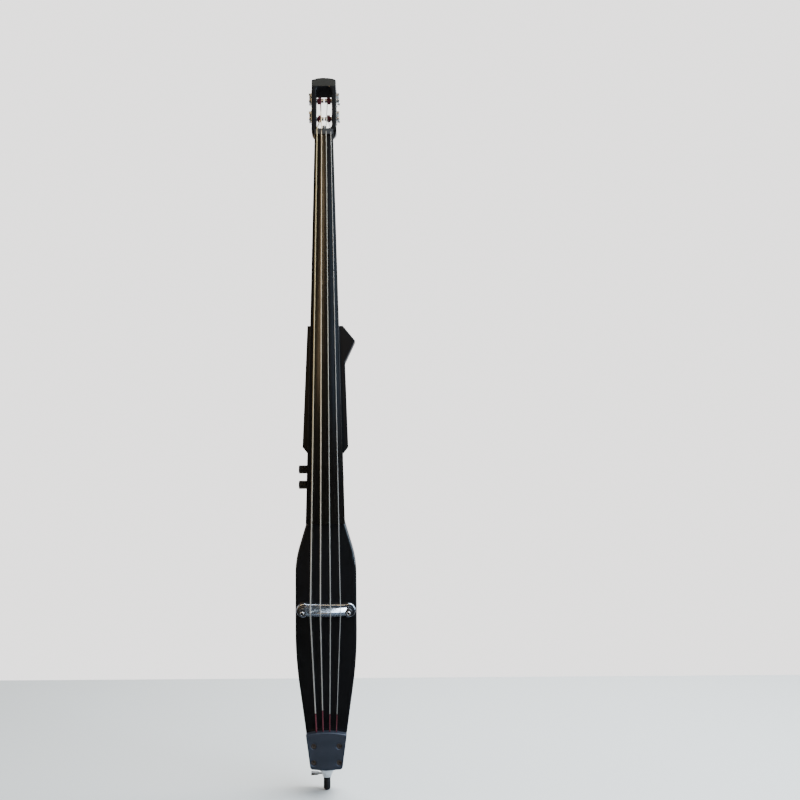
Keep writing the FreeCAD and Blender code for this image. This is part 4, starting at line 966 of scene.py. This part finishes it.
def make_endpin():
    collar = [(5.06, 27.5), (9.0, 27.5), (9.6, 29.5)]
    collar += [(11.6, 34.5), (12.6, 37.2), (14.4, 39.8), (17.0, 42.0), (19.8, 43.6), (21.4, 45.0)]
    collar += [(22.0, 47.0), (22.0, 55.8), (21.6, 56.0), (5.06, 56.0)]
    publish(lathe(softened(collar, 0.5), sides=96), "endpin_collar_made", "endpin_collar", "endpin_collar")
    tip = [(0, 0), (3.6, 0), (5.4, 0.9), (6.6, 2.4), (7.3, 4.4), (7.5, 6.5), (7.5, 18.4), (6.9, 18.9)]
    tip += [(6.9, 19.6), (7.5, 20.1), (7.5, 21.6), (6.9, 22.1), (6.9, 22.8), (7.5, 23.3), (7.5, 25.2)]
    tip += [(6.9, 26.0), (5.05, 26.0)]
    publish(lathe(softened(tip, 0.25), sides=64), "endpin_tip_made", "endpin_tip", "endpin_tip")
    rod = lathe([(0, 7), (5, 7), (5, 335), (0, 335)], sides=48)
    publish(rod, "endpin_rod_made", "endpin_rod", "endpin_rod")
    wing = [(-34.5, 31.6), (-18.0, 32.6), (-18.0, 35.4), (-34.5, 36.4)]
    paddle = plate([rounded_corners(wing, 1.2)], -7.0, 7.0, 1.2)
    shank = lathe(softened([(0, 5.4), (2.0, 5.4), (2.0, 20), (0, 20)], 0.2), (0, 0, 34), "-x", 32)
    publish(joined("thumb", [paddle, shank]), "thumb_screw_made", "thumb_screw", "thumb_screw")


# ---------------------------------------------------------------- controls

KNOB_Y = 4.0
KNOB_Z = {"volume": 693.4, "tone": 659.0}
KNOB_R, FLUTE_R, FLUTES = 9.3, 8.85, 40


def make_knobs():
    outline = []
    for step in range(FLUTES * 4):
        angle = 2 * math.pi * step / (FLUTES * 4)
        reach = KNOB_R if step % 4 in (0, 1) else FLUTE_R
        outline.append((KNOB_Y + reach * math.cos(angle), reach * math.sin(angle)))
    for name, z in KNOB_Z.items():
        shape = [(y, z + up) for y, up in outline]
        grip = plate([shape], -60.2, -40.0, 0.4, "x", 2)
        cap = softened([(0, 61.0), (6.4, 61.0), (8.0, 60.3), (8.0, 59.0), (0, 59.0)], 0.5)
        cap = lathe(cap, (0, KNOB_Y, z), "-x")
        mark = [(3.6, z + 2.0), (4.4, z + 2.0), (4.4, z + 8.4), (3.6, z + 8.4)]
        line = plate([mark], -60.95, -60.0, 0.1, "x", 1)
        publish(joined("knob", [grip, cap]), f"{name}_knob_made", f"{name}_knob", f"{name}_knob")
        publish(line, f"{name}_knob_line", f"{name}_knob", material=MATERIALS["bridge_steel"])


# ---------------------------------------------------------------- everything else, from the CAD shape

EASED = {
    "body": 0.0,
    "shoulder_block": 0.0,
    "nut": 0.4,
    "cavity_cover": 0.4,
    "volume_pot": 0.3,
    "tone_pot": 0.3,
    "output_jack": 0.3,
    **{f"tuner_plate_{name}": 0.25 for name in STRING_R},
    "tuner_screws": 0.4,
    "tuner_bushes": 0.3,
    "block_bolts": 0.6,
    "cover_screws": 0.3,
}


def make_the_rest():
    """Each node with no piece of its own: its CAD shape, welded, shaded smooth and with eased edges."""
    for node, item in NODES.items():
        if item.hide_render:
            continue
        mesh = item.data.copy()
        work = bmesh.new()
        work.from_mesh(mesh)
        bmesh.ops.remove_doubles(work, verts=work.verts, dist=0.00002)
        bmesh.ops.dissolve_limit(work, angle_limit=math.radians(0.6), verts=work.verts, edges=work.edges)
        work.to_mesh(mesh)
        work.free()
        made = publish(mesh, f"{node}_made", node, node)
        width = EASED.get(node, 0.0)
        if width:
            ease = made.modifiers.new("eased", "BEVEL")
            ease.width = width * MM
            ease.segments = 2
            ease.limit_method = "ANGLE"
            ease.angle_limit = math.radians(40)
            ease.harden_normals = True


make_camera()
make_world()
make_lights()
make_floor()
make_strings()
make_tuners()
make_fingerboard()
make_neck()
make_headstock()
make_bridge()
make_tail()
make_endpin()
make_knobs()
make_the_rest()
